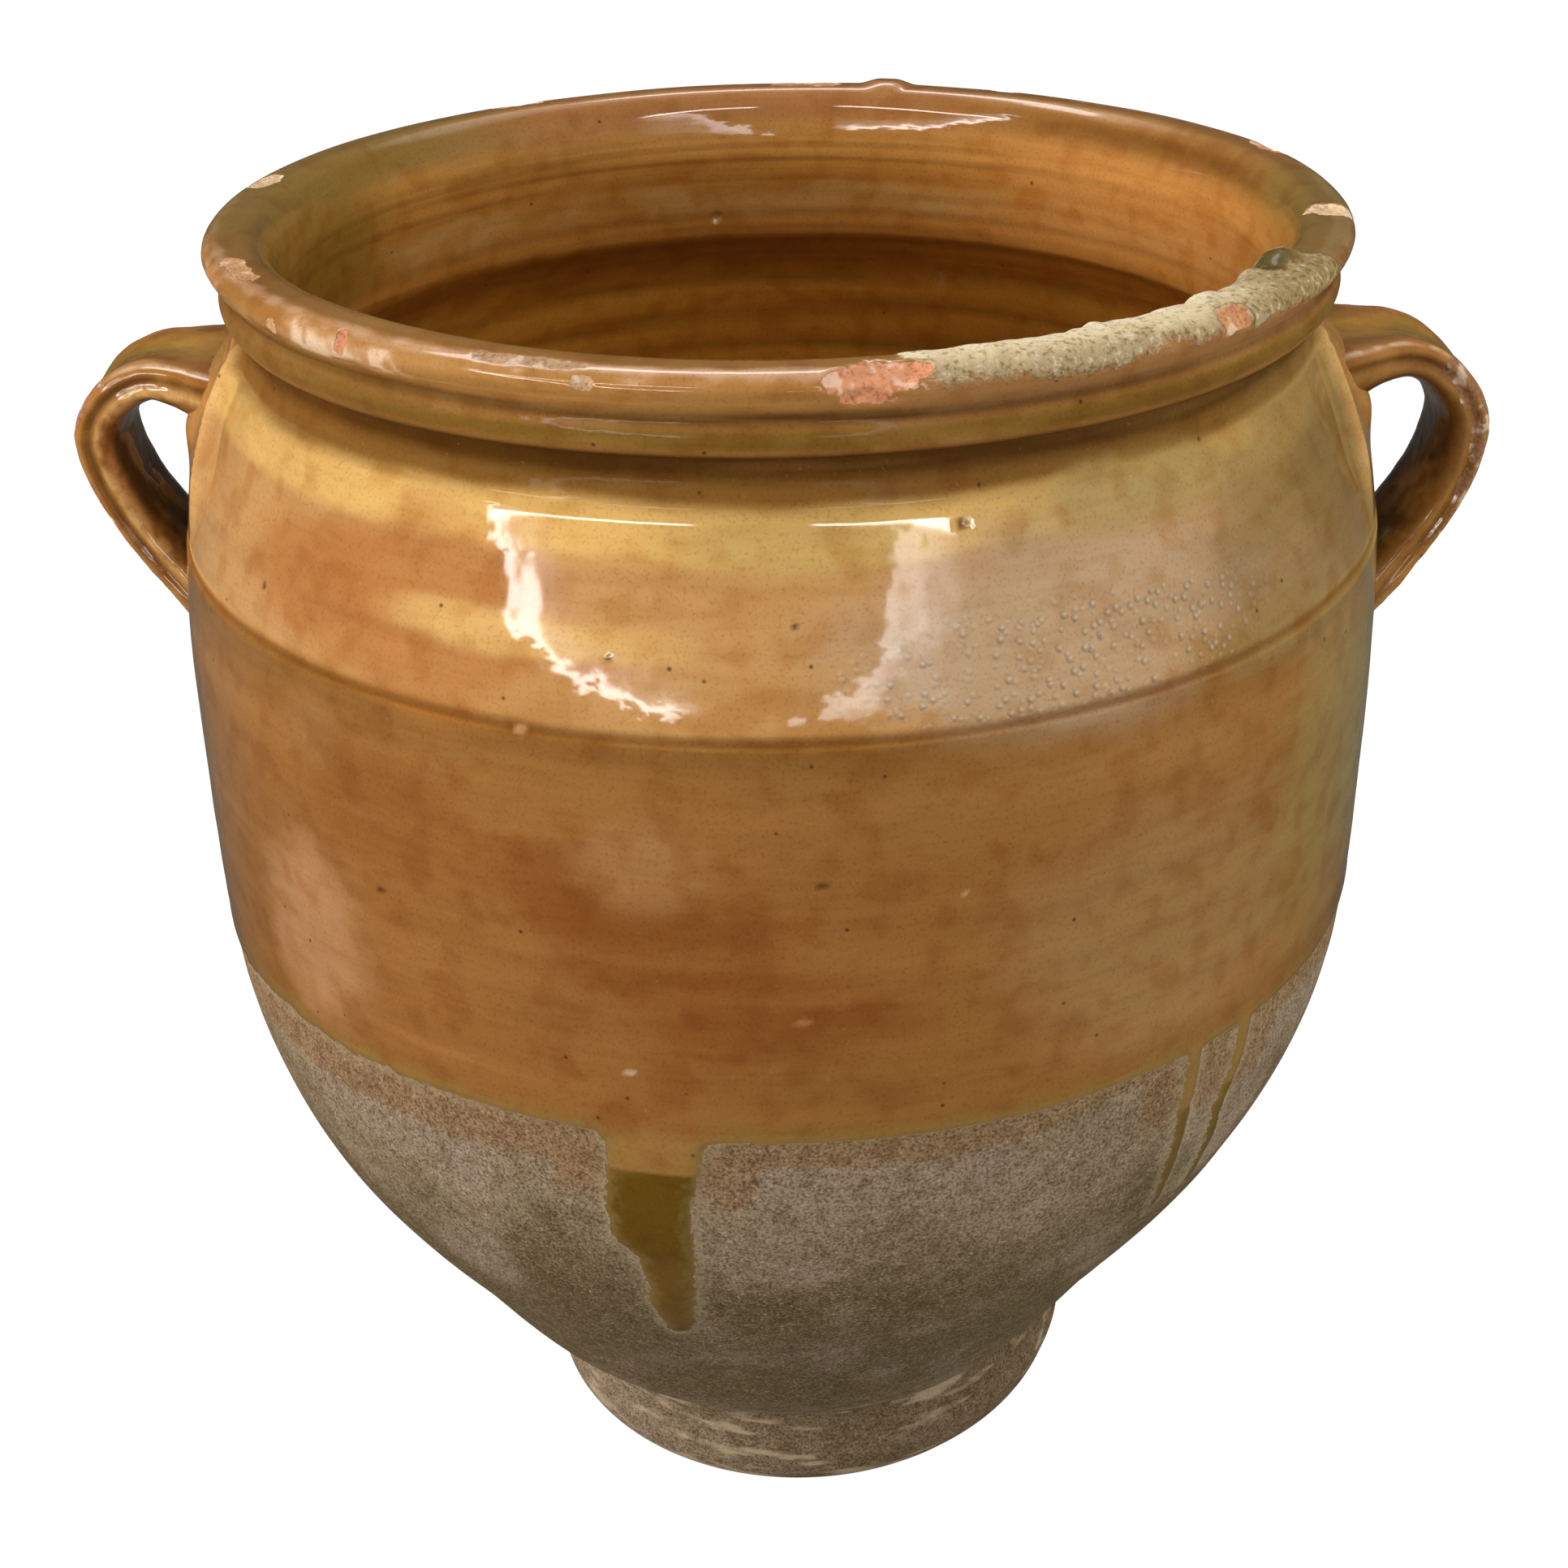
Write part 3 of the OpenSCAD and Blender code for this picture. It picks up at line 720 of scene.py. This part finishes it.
def lip_colour(points, azimuth, height, over, along, scuffed, wave, fine):
    """The glaze over the collar and lip: painted shade under the collar's step, in the groove and on the
    lip's lower face on the left, olive on the bead, brushed and rubbed on top, and turning into the neck's
    colour at its inner edge."""
    streak = rough_field(points, 5, 26, (12, 12, 0.7))
    rubbed = smooth(np.abs(over - 3.2) / 2.4 + 0.8 * wave + 0.5 * fine, 0.75, 0.2)
    shaded_left = smooth(np.abs(apart(azimuth, -150)), 34, 20)
    mossy = smooth(np.hypot(apart(azimuth, MOSS_AT) / 4.8, (over - 10) / 6) + 0.3 * fine, 1.1, 0.4)
    colour = np.broadcast_to(tone(166, 116, 58), points.shape)
    # Painted shade under the collar's step.
    colour = washed(colour, (70, 40, 5), smooth(over, -10.5, -13))
    colour = washed(colour, (124, 92, 34), smooth(np.abs(over + 9.3), 2.4, 0.6))
    # Painted shade in the groove under the lip.
    colour = washed(colour, (74, 44, 6), smooth(np.abs(over + 5.6), 2.6, 0.4) * 0.9)
    colour = washed(colour, (150, 106, 46), smooth(over, 2, 6) * 0.8)
    colour = washed(colour, (140, 92, 36), smooth(over, 8, 12) * 0.8)
    colour = washed(colour, (110, 68, 22), np.clip(streak, 0, 1) * 0.7)
    colour = washed(colour, (196, 148, 88), np.clip(-streak, 0, 1) * 0.7)
    colour = washed(colour, (202, 160, 126), rubbed * 0.75)
    colour = washed(colour, (166, 120, 80), along * smooth(over, -8, -3) * 0.6)
    # Painted shade on the lip's lower face on the left.
    colour = washed(colour, (118, 82, 32), shaded_left * smooth(over, 0, -3) * 0.55)
    colour = washed(colour, (70, 62, 32), mossy)
    for at, wide in OLIVE_ENDS:
        olive = smooth(np.abs(apart(azimuth, at)) / wide + 0.3 * wave, 1.1, 0.4) * smooth(over, -1, 3)
        colour = washed(colour, (138, 116, 52), olive * 0.65)
    pink_back = smooth(np.abs(apart(azimuth, 100)), 52, 20) * smooth(over, 3, 8)
    colour = washed(colour, (190, 130, 84), pink_back * 0.4)
    met = smooth(over, LIP_END - 7, LIP_END - 0.6)[..., None]
    colour = colour * (1 - met) + neck_tone(points, azimuth, height) * met
    colour = washed(colour, (196, 148, 104), scuffed * 0.8)
    white = smooth(scuffed, 0.5, 1.0) * smooth(fine + 0.6 * wave, -0.05, 0.35)
    return washed(colour, (236, 214, 188), white * 0.75)


def rim(points, radius, azimuth, height):
    """The collar and lip, with chips taken out, crust laid on, scuffs, and a lump of glaze at the back."""
    over = np.broadcast_to(lip_way[lip_first - 1:lip_last + 2, None], height.shape)
    wave = rough_field(points, 9, 22, (3, 3, 1), 2)
    fine = rough_field(points, 2.6, 23, (1.3, 1.3, 1), 3)
    lumps = rough_field(points, 3.4, 25, (1.4, 1.4, 1), 3)
    cut, worn, bare_colour = chipped(points, azimuth, over, wave, fine)
    along, crust, limy = crusted(points, azimuth, over, fine)
    scratches = rough_field(points, 2.4, 28, (4.5, 4.5, 1), 3) + 0.35 * wave
    scuffed = smooth(scratches, -0.05, 0.40) * smooth(np.abs(over - 0.8), 4.4, 2.0)
    scuffed = scuffed * (0.25 + 0.6 * smooth(np.abs(apart(azimuth, -132)), 42, 26)) * (1 - along)
    bare_colour = np.where((crust * (1 - worn) > 0.25)[..., None], limy, bare_colour)
    relief = 0.16 * wave + cut
    relief = relief + crust * (0.25 + 0.55 * np.clip(lumps + 0.15, -0.3, 1) * smooth(over, 2, 8))
    for at, across, wide, tall, high in CRUST_LUMPS:
        reach = away(azimuth, 104, over, at, across, wide, tall) + 0.2 * lumps
        relief = relief + high * smooth(reach, 1.1, 0.2)
    relief = relief + GLAZE_LUMP_HIGH * smooth(away(azimuth, 104, over, *GLAZE_LUMP), 1.1, 0.3)
    relief = relief * smooth(over, -14.2, -12) * smooth(over, LIP_END, LIP_END - 2.2) + swell(points) + SKIN
    moss = smooth(np.hypot(apart(azimuth, MOSS_AT) / 4.4, (over - 8.5) / 5) + 0.6 * fine, 1.1, 0.5)
    low_rim = smooth(over, -2.5, -4.5) * smooth(over, -14, -11)
    matt = np.maximum(np.maximum(0.85 * low_rim, 0.7 * along * smooth(over, -6, 0)), 0.6 * scuffed)
    marks = {"worn": worn, "crust": crust * (1 - worn) * (1 - 0.75 * moss), "matt": matt}
    colour = lip_colour(points, azimuth, height, over, along, scuffed, wave, fine)
    return relief, marks, {"glaze_tint": colour, "bare_tint": bare_colour}


def worn_through(fired):
    """Glaze that is knocked or rubbed off where the mesh says worn: there the bare clay shows its own
    colour and grain, a little lower than the glaze. Gives back colour, relief and the share of shine."""
    colour, height = glaze_over(fired)
    gone = (fired.marked("worn") + (fired.cloud(1.4, 2, offset=3) - 0.5) * 1.1).rise(0.42, 0.58)
    grain = fired.cloud(0.9, 1, offset=17)
    gritty = grain.rise(0.44, 0.70) * 0.8
    clay = fired.blend(fired.tinted("bare_tint"), (0.66, 0.56, 0.48), gritty, "MULTIPLY")
    clay = fired.blend(clay, (0.86, 0.70, 0.56), fired.cloud(3.0, 1, offset=19).rise(0.55, 0.7) * 0.5)
    height = height * (1 - gone) + gone * (grain * 0.3 - 0.25)
    return fired.blend(colour, clay, gone), height, 1 - gone * 0.8


def crusted_finish(fired):
    """The lip's finish: worn glaze with a dry, crumbly lime crust where the mesh says crust."""
    colour, height, shine = worn_through(fired)
    grown = (fired.marked("crust") + (fired.cloud(1.1, 2, offset=9) - 0.5) * 0.9).rise(0.25, 0.70)
    lime = fired.cloud(1.2, 2, offset=13)
    crumbly = lime.rise(0.52, 0.68) * 0.7
    crumb = fired.blend(fired.tinted("bare_tint"), (0.40, 0.33, 0.22), crumbly, "MULTIPLY")
    crumb = fired.blend(crumb, (0.86, 0.80, 0.66), lime.rise(0.44, 0.32) * 0.35)
    shine = shine * (1 - grown) * (1 - fired.marked("matt"))
    return fired.feed_shine(fired.blend(colour, crumb, grown), height + grown * lime * 0.7, shine)


CRUSTED = crusted_finish(Finish("chipped_and_crusted_lip", **EARTHENWARE))
ROUND_LIP = 1440
turned("pot_lip", CRUSTED, lip_line, ROUND_LIP, rim, lip_first, lip_last)

# The hollow. Inside, the potter's fingers left rings from floor to shoulder. The same glaze is
# brushed thin under the lip and pools dark on the shoulder and the floor; the dark band just under
# the throat is partly pooled glaze and partly painted shade.
NECK_ROWS = 64
FLOOR_MIDDLE = (0.0, 12.6)
# Two nodules fired into the wall: direction, height and size.
NODULES = [(98.0, 252.3, 1.6), (68.1, 235.6, 1.8)]


def within(points, radius, azimuth, height):
    """The inner wall: finger rings that climb in a spiral and fade towards the neck and the middle of the
    floor, with brush streaks and pale patches."""
    turn = azimuth / 360
    streak = rough_field(points, 5, 51, (14, 14, 0.6))
    cloud = rough_field(points, 24, 52)
    uneven = 0.45 * random_field(points, 22, 55, (4, 4, 1))
    rings = np.sin(2 * np.pi * (height / 9.5 + turn + uneven))
    rings = rings + 0.4 * np.sin(2 * np.pi * (height / 3.7 + 2 * turn))
    rings = rings * (0.75 + 0.5 * cloud)
    deep = smooth(height, 262, 235)
    relief = 0.45 * cloud + deep * 0.36 * rings + 0.10 * streak * deep
    relief = relief + (1 - deep) * 0.04 * np.sin(2 * np.pi * height / 4.3)
    relief = relief * smooth(height, 270.4, 267) + swell(points) + SKIN * smooth(height, 257, 270)
    relief = relief * smooth(radius, 0, 30)
    colour = neck_tone(points, azimuth, height)
    # Darker under the throat: partly pooled glaze, partly painted shade where the wall turns out of sight.
    colour = washed(colour, (132, 76, 16), smooth(height + 1.2 * cloud, 249, 246) * 0.8)
    colour = washed(colour, (226, 168, 66), smooth(height + 4 * cloud, 242, 232) * 0.85)
    colour = washed(colour, (150, 92, 24), deep * smooth(np.abs(apart(azimuth, 40)), 50, 10) * 0.5)
    colour = washed(colour, (112, 58, 12), np.clip(streak - 0.1, 0, 1) * deep * 0.5)
    colour = washed(colour, (104, 54, 10), deep * smooth(rings, 0.2, -1.2) * 0.5)
    for at, level, size in NODULES:
        spot = away(azimuth, radius, height, at, level, size, size)
        relief = relief - 0.9 * smooth(spot, 1.1, 0.2)
        colour = washed(colour, (196, 158, 116), smooth(spot, 1.0, 0.3) * 0.7)
    return relief, {}, {"glaze_tint": colour}


deep_part = even_steps(np.r_[inner[NECK_ROWS:], [FLOOR_MIDDLE]], 2.4)
deep_line = np.concatenate([inner[:NECK_ROWS + 1], deep_part[1:]])
turned("pot_neck_inside", GLAZED, deep_line, ROUND_WALL, within, 0, NECK_ROWS)
turned("pot_hollow", GLAZED, deep_line, ROUND_WALL, within, NECK_ROWS, len(deep_line) - 2, (False, True))

# The strap handles. Each was pulled from a lump of clay into a strap, thumbed down its middle,
# bent over and smeared on to the shoulder and the belly, then glazed with the pot. Its outer
# edges are worn to the clay.
# The middle line of each strap, outward from the pot's middle and up.
RIGHT_STRAP = [((102.5, 248.4), (123.2, 250.0), 86, 91), ((123.2, 250.0), (138.4, 234.4), 91, 181),
               ((138.4, 234.4), (113.5, 189.5), 181, 214)]
LEFT_STRAP = [((102.5, 248.4), (122.4, 250.4), 86, 90), ((122.4, 250.4), (136.6, 237.0), 91, 183),
              ((136.6, 237.0), (112.5, 193.5), 183, 213)]
STRAP_HALF, STRAP_THICK, VALLEY = 13.0, 4.8, 2.3
ROUND_STRAP = 120
# How much wider each root is on either side, how far along its flare reaches, and how deep it sinks.
UPPER_FLARE, UPPER_REACH = 9.5, 11
LOWER_FLARE, LOWER_REACH = 4.0, 12
ROOT_SINK = 0.30


def signed_power(value, power):
    """A value raised to a power with its sign kept."""
    return np.sign(value) * np.abs(value) ** power


def strap_form(curves):
    """Points of a strap, and where each lies on it: along it, across it, and how high over its middle. Its
    section is a rounded oblong, a cosine and a sine raised to powers, with a cosine valley on the outer
    face and a bead and a groove along the flanks. Its width grows at both roots, where its sides sink into
    the wall, and it is carried square to the curved middle line."""
    ends = np.concatenate([bend(*curve, 60)[:-1] for curve in curves] + [[curves[-1][1]]])
    middle = even_steps(ends, 0.55)
    way = np.r_[0, np.cumsum(np.hypot(*np.diff(middle, axis=0).T))]
    run = np.gradient(middle, axis=0)
    run /= np.hypot(*run.T)[:, None]
    out = np.column_stack([-run[:, 1], run[:, 0]])
    turn = np.linspace(0, 2 * np.pi, 2001)
    plain = np.stack([STRAP_HALF * signed_power(np.cos(turn), 0.62),
                      STRAP_THICK * signed_power(np.sin(turn), 0.68)], 1)
    round_it = np.r_[0, np.cumsum(np.hypot(*np.diff(plain, axis=0).T))]
    even = np.linspace(0, round_it[-1], ROUND_STRAP, endpoint=False)
    turn = np.interp(even, round_it, turn)[None]
    upper = bump_at(np.maximum(way - 4, 0), 0, UPPER_REACH)[:, None]
    lower = bump_at(np.maximum(way[-1] - way - 8, 0), 0, LOWER_REACH)[:, None]
    half = STRAP_HALF + UPPER_FLARE * upper + LOWER_FLARE * lower
    cosine, sine = np.cos(turn), np.sin(turn)
    y = half * signed_power(cosine, 0.62)
    under = STRAP_THICK + 5.5 * upper + 2.5 * lower
    rise = np.where(sine > 0, STRAP_THICK * np.abs(sine) ** 0.62, -under * np.abs(sine) ** 0.75)
    valley = VALLEY * (1 - 0.6 * upper) * (1 - 0.85 * lower) * (0.5 + 0.5 * np.cos(np.pi * y / half))
    level = rise - np.where(sine > 0, valley, 0)
    bead = 0.5 * bump_at(rise, -2.2, 1.2) - 1.0 * bump_at(rise, 0.4, 1.0)
    y = y + bead * signed_power(cosine, 0.5) * (1 - upper) * (1 - lower)
    spot = np.stack([np.broadcast_to(middle[:, :1], y.shape), y, np.broadcast_to(middle[:, 1:], y.shape)], -1)
    spot[..., 0] += out[:, :1] * level
    spot[..., 2] += out[:, 1:] * level
    spot[..., 0] -= ROOT_SINK * (upper + lower) * np.maximum(np.abs(y) - 11, 0) ** 1.15
    outward = np.stack([out[:, :1] * sine, np.broadcast_to(cosine, y.shape), out[:, 1:] * sine], -1)
    return spot, outward, upper, way[:, None] / way[-1], np.abs(y) / half, rise, sine, cosine


def strap_colour(share, across, rise, sine, flank, cloud, fine, beaded):
    """The strap's glaze: yellow and olive in the valley, brown underneath and darkest on its inner face,
    partly painted shade, dark grooves and a beige bead on the flanks, and a pale line along the outer
    edges that is a painted highlight."""
    thumbed = smooth(across, 0.6, 0.15) * smooth(sine, 0, 0.4)
    edge = smooth(np.abs(across - 0.80), 0.22, 0.05) * smooth(sine, -0.1, 0.3)
    beige = bump_at(rise + 1.2 * cloud + 0.5 * fine, -2.2, 1.5) * smooth(fine + cloud, -0.7, 0.2)
    # Painted highlight: a pale line along the outer edges near the crown.
    edge_highlight = smooth(np.abs(across - 0.86), 0.06, 0.015) * smooth(sine, 0, 0.2)
    edge_highlight = edge_highlight * smooth(np.abs(share - 0.20), 0.12, 0.06) * smooth(fine + cloud, -0.4, 0.2)
    colour = np.broadcast_to(tone(164, 112, 48), (*across.shape, 3))
    colour = washed(colour, (200, 156, 66), thumbed * smooth(share, 0.6, 0.4) * 0.9)
    olive = thumbed * smooth(np.abs(share - 0.30) + 0.06 * cloud, 0.14, 0.04)
    colour = washed(colour, (128, 104, 34), olive * 0.7)
    # Brown underneath and darkest low on the inner face: partly painted shade between strap and wall.
    colour = washed(colour, (112, 66, 12), np.broadcast_to(smooth(sine, 0.0, -0.4) * 0.8, across.shape))
    colour = washed(colour, (54, 44, 10), smooth(sine, -0.5, -0.9) * smooth(share, 0.35, 0.5) * 0.8)
    colour = washed(colour, (104, 60, 8), flank * bump_at(rise - 0.5 * cloud, 0.8, 1.1) * 0.85)
    colour = washed(colour, (226, 182, 118), flank * beige * beaded)
    # Darker where the flanks turn under: partly painted shade.
    colour = washed(colour, (96, 56, 8), flank * smooth(rise + 0.8 * cloud, -3.4, -4.4) * 0.8)
    colour = washed(colour, (112, 66, 16), flank * (1 - beaded) * smooth(rise, 0.5, -2.5) * 0.7)
    colour = washed(colour, (220, 176, 128), edge * smooth(cloud, -0.4, 0.4) * smooth(share, 0.08, 0.2) * 0.6)
    colour = washed(colour, (112, 70, 22), np.clip(cloud + 0.8 * fine, 0, 1) * 0.55)
    colour = washed(colour, (196, 144, 80), np.clip(-cloud - 0.8 * fine, 0, 1) * 0.5)
    colour = washed(colour, (176, 128, 70), np.broadcast_to(smooth(share, 0.80, 0.95) * 0.4, across.shape))
    return washed(colour, (240, 212, 166), edge_highlight * (0.4 + 0.5 * (1 - beaded))), edge


def strap_handle(name, curves, side, seed, bare_shade, beaded):
    """A strap on the right (side 1) or left (side -1). Beaded says how clear the beige bead on its flanks
    is, against wear on its outer side."""
    spot, outward, upper, share, across, rise, sine, cosine = strap_form(curves)
    seeded = spot + 300 * seed
    lump = 0.6 * rough_field(seeded, 15, 61, octaves=2) + 0.24 * rough_field(seeded, 4.5, 62)
    spot = spot + outward * (lump * (1 - 0.5 * upper))[..., None]
    spot[..., :2] *= side
    spot[..., 0] -= lean(spot[..., 2])
    fine = rough_field(seeded, 3.0, 63)
    cloud = rough_field(seeded, 13, 64)
    flank = smooth(np.abs(cosine), 0.5, 0.8)
    colour, edge = strap_colour(share, across, rise, sine, flank, cloud, fine, beaded)
    lower_side = 3.6 * (1 - beaded)
    outer_side = flank * smooth(rise + 1.6 * cloud + 0.8 * fine, 0.9 - lower_side, 3.0 - lower_side)
    worn = smooth(0.8 * edge + 0.7 * outer_side + 0.4 * fine + 0.35 * cloud - 0.2, 0.35, 0.85)
    worn = worn * smooth(share + 0.04 * cloud, 0.26, 0.36) * smooth(share + 0.05 * cloud, 0.76, 0.62)
    tints = {"glaze_tint": colour, "bare_tint": tone(*bare_shade)}
    fired_piece(name, WORN, spot, {"worn": worn}, tints, caps=(True, True))


worn_glaze = Finish("worn_glaze", **EARTHENWARE)
WORN = worn_glaze.feed_shine(*worn_through(worn_glaze))
strap_handle("handle_right", RIGHT_STRAP, 1, 1, (150, 108, 74), 0.35)
strap_handle("handle_left", LEFT_STRAP, -1, 2, (158, 112, 88), 1.0)

# The view. The pot is seen from a little above its shoulder, near enough that the mouth opens
# wide. The picture is square, and the camera tips very slightly to one side.
PICTURE = 1932
FOCAL_LENGTH = 2741.3
LOOKS_DOWN = 0.5019
TIPS = -0.0193
EYE_TO_POT = 0.4943
AIM = (-0.0010, 0, 0.1512)
ahead = np.array([0, np.cos(LOOKS_DOWN), -np.sin(LOOKS_DOWN)])
level_side = np.array([1, 0, 0])
straight_up = np.array([0, np.sin(LOOKS_DOWN), np.cos(LOOKS_DOWN)])
sideways = np.cos(TIPS) * level_side + np.sin(TIPS) * straight_up
upward = -np.sin(TIPS) * level_side + np.cos(TIPS) * straight_up
eye = np.array(AIM) - ahead * EYE_TO_POT


def facing_matrix(sideways, upward, backward, place):
    """A placing whose own axes point in three directions."""
    columns = np.column_stack([sideways, upward, backward, place])
    return Matrix([[*row] for row in np.vstack([columns, [0, 0, 0, 1]])])


lens = bpy.data.cameras.new("view")
lens.sensor_fit = "HORIZONTAL"
lens.sensor_width = 36
lens.lens = lens.sensor_width * FOCAL_LENGTH / PICTURE
lens.clip_start = 0.02
lens.clip_end = 30
camera = bpy.data.objects.new("view", lens)
camera.matrix_world = facing_matrix(sideways, upward, -ahead, eye)
bpy.context.collection.objects.link(camera)
bpy.context.scene.camera = camera
bpy.context.scene.view_settings.view_transform = "Standard"

# The table. A white sheet with no far edge. It shows white to the camera with the pot's shadow
# only faint, and gives back about half of the light that falls on it. In reflections it is dark
# in front of the pot, as the near part of a room is, and a little lighter behind.
REACH = 6
SHADOW_SHOWS = 0.12
table = bpy.data.meshes.new("sheet")
table.from_pydata([(-REACH, -REACH, 0), (REACH, -REACH, 0), (REACH, REACH, 0), (-REACH, REACH, 0)], [],
                  [(0, 1, 2, 3)])
sheet = bpy.data.objects.new("sheet", table)
bpy.context.collection.objects.link(sheet)
paper = Finish("white_sheet", Roughness=1.0, Specular_IOR_Level=0.0, Base_Color=(0.9, 0.9, 0.9, 1))
behind = paper.at("Y").rise(40.0, 260.0)
seen = paper.node("ShaderNodeLightPath", out="Is Camera Ray")
mirrored = paper.node("ShaderNodeLightPath", out="Is Glossy Ray") * (1 - behind * 0.15)
lit = paper.node("ShaderNodeBsdfDiffuse", {}, {"Color": (0.52, 0.51, 0.48, 1)})
dim = paper.node("ShaderNodeBsdfDiffuse", {}, {"Color": (0.05, 0.05, 0.045, 1)})
glow = paper.node("ShaderNodeEmission", {}, {"Color": (1, 1, 1, 1), "Strength": 1.1})
white = paper.mixed(SHADOW_SHOWS, glow, Wire(paper, paper.shader.outputs["BSDF"]))
shown = paper.mixed(seen, paper.mixed(mirrored, lit, dim), white)
paper.tree.links.new(shown.socket, paper.tree.nodes["Material Output"].inputs["Surface"])
table.materials.append(paper.material)


# The light. Daylight comes from the left and the front: as reflections, a bright ragged window
# to the left, a weaker one to the right, a thin line above them and a skylight behind. The room
# gives a soft light all round, and three soft lamps that don't show as reflections shape it.
class Room(Finish):
    """The space all round the pot, written with the same sums as a finish."""
    def __init__(self, name):
        world = bpy.data.worlds.new(name)
        bpy.context.scene.world = world
        world.use_nodes = True
        self.tree = world.node_tree

    def background(self, colour, strength):
        """Light of one colour from all sides, with a strength for each direction."""
        return self.node("ShaderNodeBackground", {}, {"Color": (*colour, 1), "Strength": strength})


# Directions and elevations are in degrees as the pot's middle sees them: a direction of -90 is
# to the front, 0 to the right and -180 to the left.
DEGREES = 57.3
room = Room("room")
way = room.node("ShaderNodeTexCoord", out="Generated")
right, back, up = [room.node("ShaderNodeSeparateXYZ", {}, {"Vector": way}, axis) for axis in "XYZ"]
turn = room.node("ShaderNodeMath", {"operation": "ARCTAN2"}, {0: back, 1: right}) * DEGREES
lift = room.node("ShaderNodeMath", {"operation": "ARCSINE"}, {0: up}) * DEGREES
ragged = room.node("ShaderNodeTexNoise", {}, {"Vector": way, "Scale": 16.0, "Detail": 3.0,
                                              "Roughness": 0.65}) - 0.5
foot_of_left = 23 - turn.rise(-152, -136) * 6.5 - turn.rise(-139, -127) * 9
foot_of_left = foot_of_left - turn.rise(-128, -112) * 4 + turn.rise(-151, -155) * 12
inside_left = lift - foot_of_left + ragged * 15
left_part = turn.rise(-159, -155) * turn.rise(-104, -112) * lift.rise(38, 32)
bright_sill = inside_left.rise(0, 0.6) * inside_left.rise(4.8, 2.0) * 15
soft_pane = inside_left.rise(0, 1.5) * inside_left.rise(15, 1) * 3.6
left_window = left_part * (bright_sill + soft_pane)
foot_of_right = 4 - turn.rise(-88, -95) * 20 + turn.rise(-87, -76) * 9
foot_of_right = foot_of_right + turn.rise(-77, -70) * 12 + turn.rise(-71, -66) * 7
inside_right = foot_of_right - lift + ragged * 24
right_part = inside_right.rise(0, 1) * (lift - 3 + ragged * 8).rise(0, 1) * turn.rise(-52, -66)
right_window = right_part * (1.4 + inside_right.rise(16, 2) * 6)
# The thin line is a straight, level edge in front and a little to the left, so it keeps one
# height for each step in that direction.
toward_front = right * -0.174 - back * 0.985
steepness = room.node("ShaderNodeMath", {"operation": "DIVIDE"}, {0: up, 1: toward_front}) + ragged * 0.03
top_part = turn.rise(-152, -149) * turn.rise(-54, -58) * (1 - turn.rise(-110, -106) * turn.rise(-82, -85))
top_line = steepness.rise(0.725, 0.74) * steepness.rise(0.81, 0.79) * top_part * 20
ceiling = lift.rise(38, 50) * back.rise(0.0, 0.35) * 1.3
skylight = (lift + ragged * 6).rise(52, 54) * lift.rise(64, 62)
skylight = skylight * turn.rise(74, 82) * turn.rise(160, 150) * 7.0
glints = left_window + right_window + top_line + ceiling + skylight + 0.04
soft_light = room.background((1.0, 0.97, 0.92), 0.40)
reflected = room.background((1.0, 0.96, 0.94), glints)
backdrop = room.background((1, 1, 1), 1.0)
to_camera = room.node("ShaderNodeLightPath", out="Is Camera Ray")
to_gloss = room.node("ShaderNodeLightPath", out="Is Glossy Ray")
all_round = room.mixed(to_camera, room.mixed(to_gloss, soft_light, reflected), backdrop)
room.tree.links.new(all_round.socket, room.tree.nodes["World Output"].inputs["Surface"])
POT_MIDDLE = np.array([0, 0, 0.2])


def strip(name, start, end, breadth, power, tint):
    """A rectangular lamp that faces the pot, from one place to another, each a direction and elevation in
    degrees and a distance in metres. It lights the pot softly and doesn't show as a reflection."""
    ends = [POT_MIDDLE + far * np.array([np.cos(e) * np.cos(a), np.cos(e) * np.sin(a), np.sin(e)])
            for a, e, far in [(*np.radians(place[:2]), place[2]) for place in (start, end)]]
    centre = (ends[0] + ends[1]) / 2
    length = np.linalg.norm(ends[1] - ends[0])
    along = (ends[1] - ends[0]) / length
    facing = centre - POT_MIDDLE
    facing = facing - (facing @ along) * along
    facing /= np.linalg.norm(facing)
    light = bpy.data.lights.new(name, "AREA")
    light.shape = "RECTANGLE"
    light.size = length
    light.size_y = breadth
    light.energy = power
    light.color = tint
    holder = bpy.data.objects.new(name, light)
    holder.matrix_world = facing_matrix(along, np.cross(facing, along), facing, centre)
    holder.visible_glossy = False
    bpy.context.collection.objects.link(holder)


strip("window", (-186, 12, 1.9), (-142, 12, 1.9), 0.8, 29.0, (1.0, 0.96, 0.9))
strip("ceiling", (-150, 66, 2.0), (-30, 66, 2.0), 1.5, 14.0, (1.0, 0.97, 0.93))
strip("room_right", (-58, 8, 1.9), (18, 12, 1.9), 0.8, 15.5, (0.97, 1.0, 0.92))
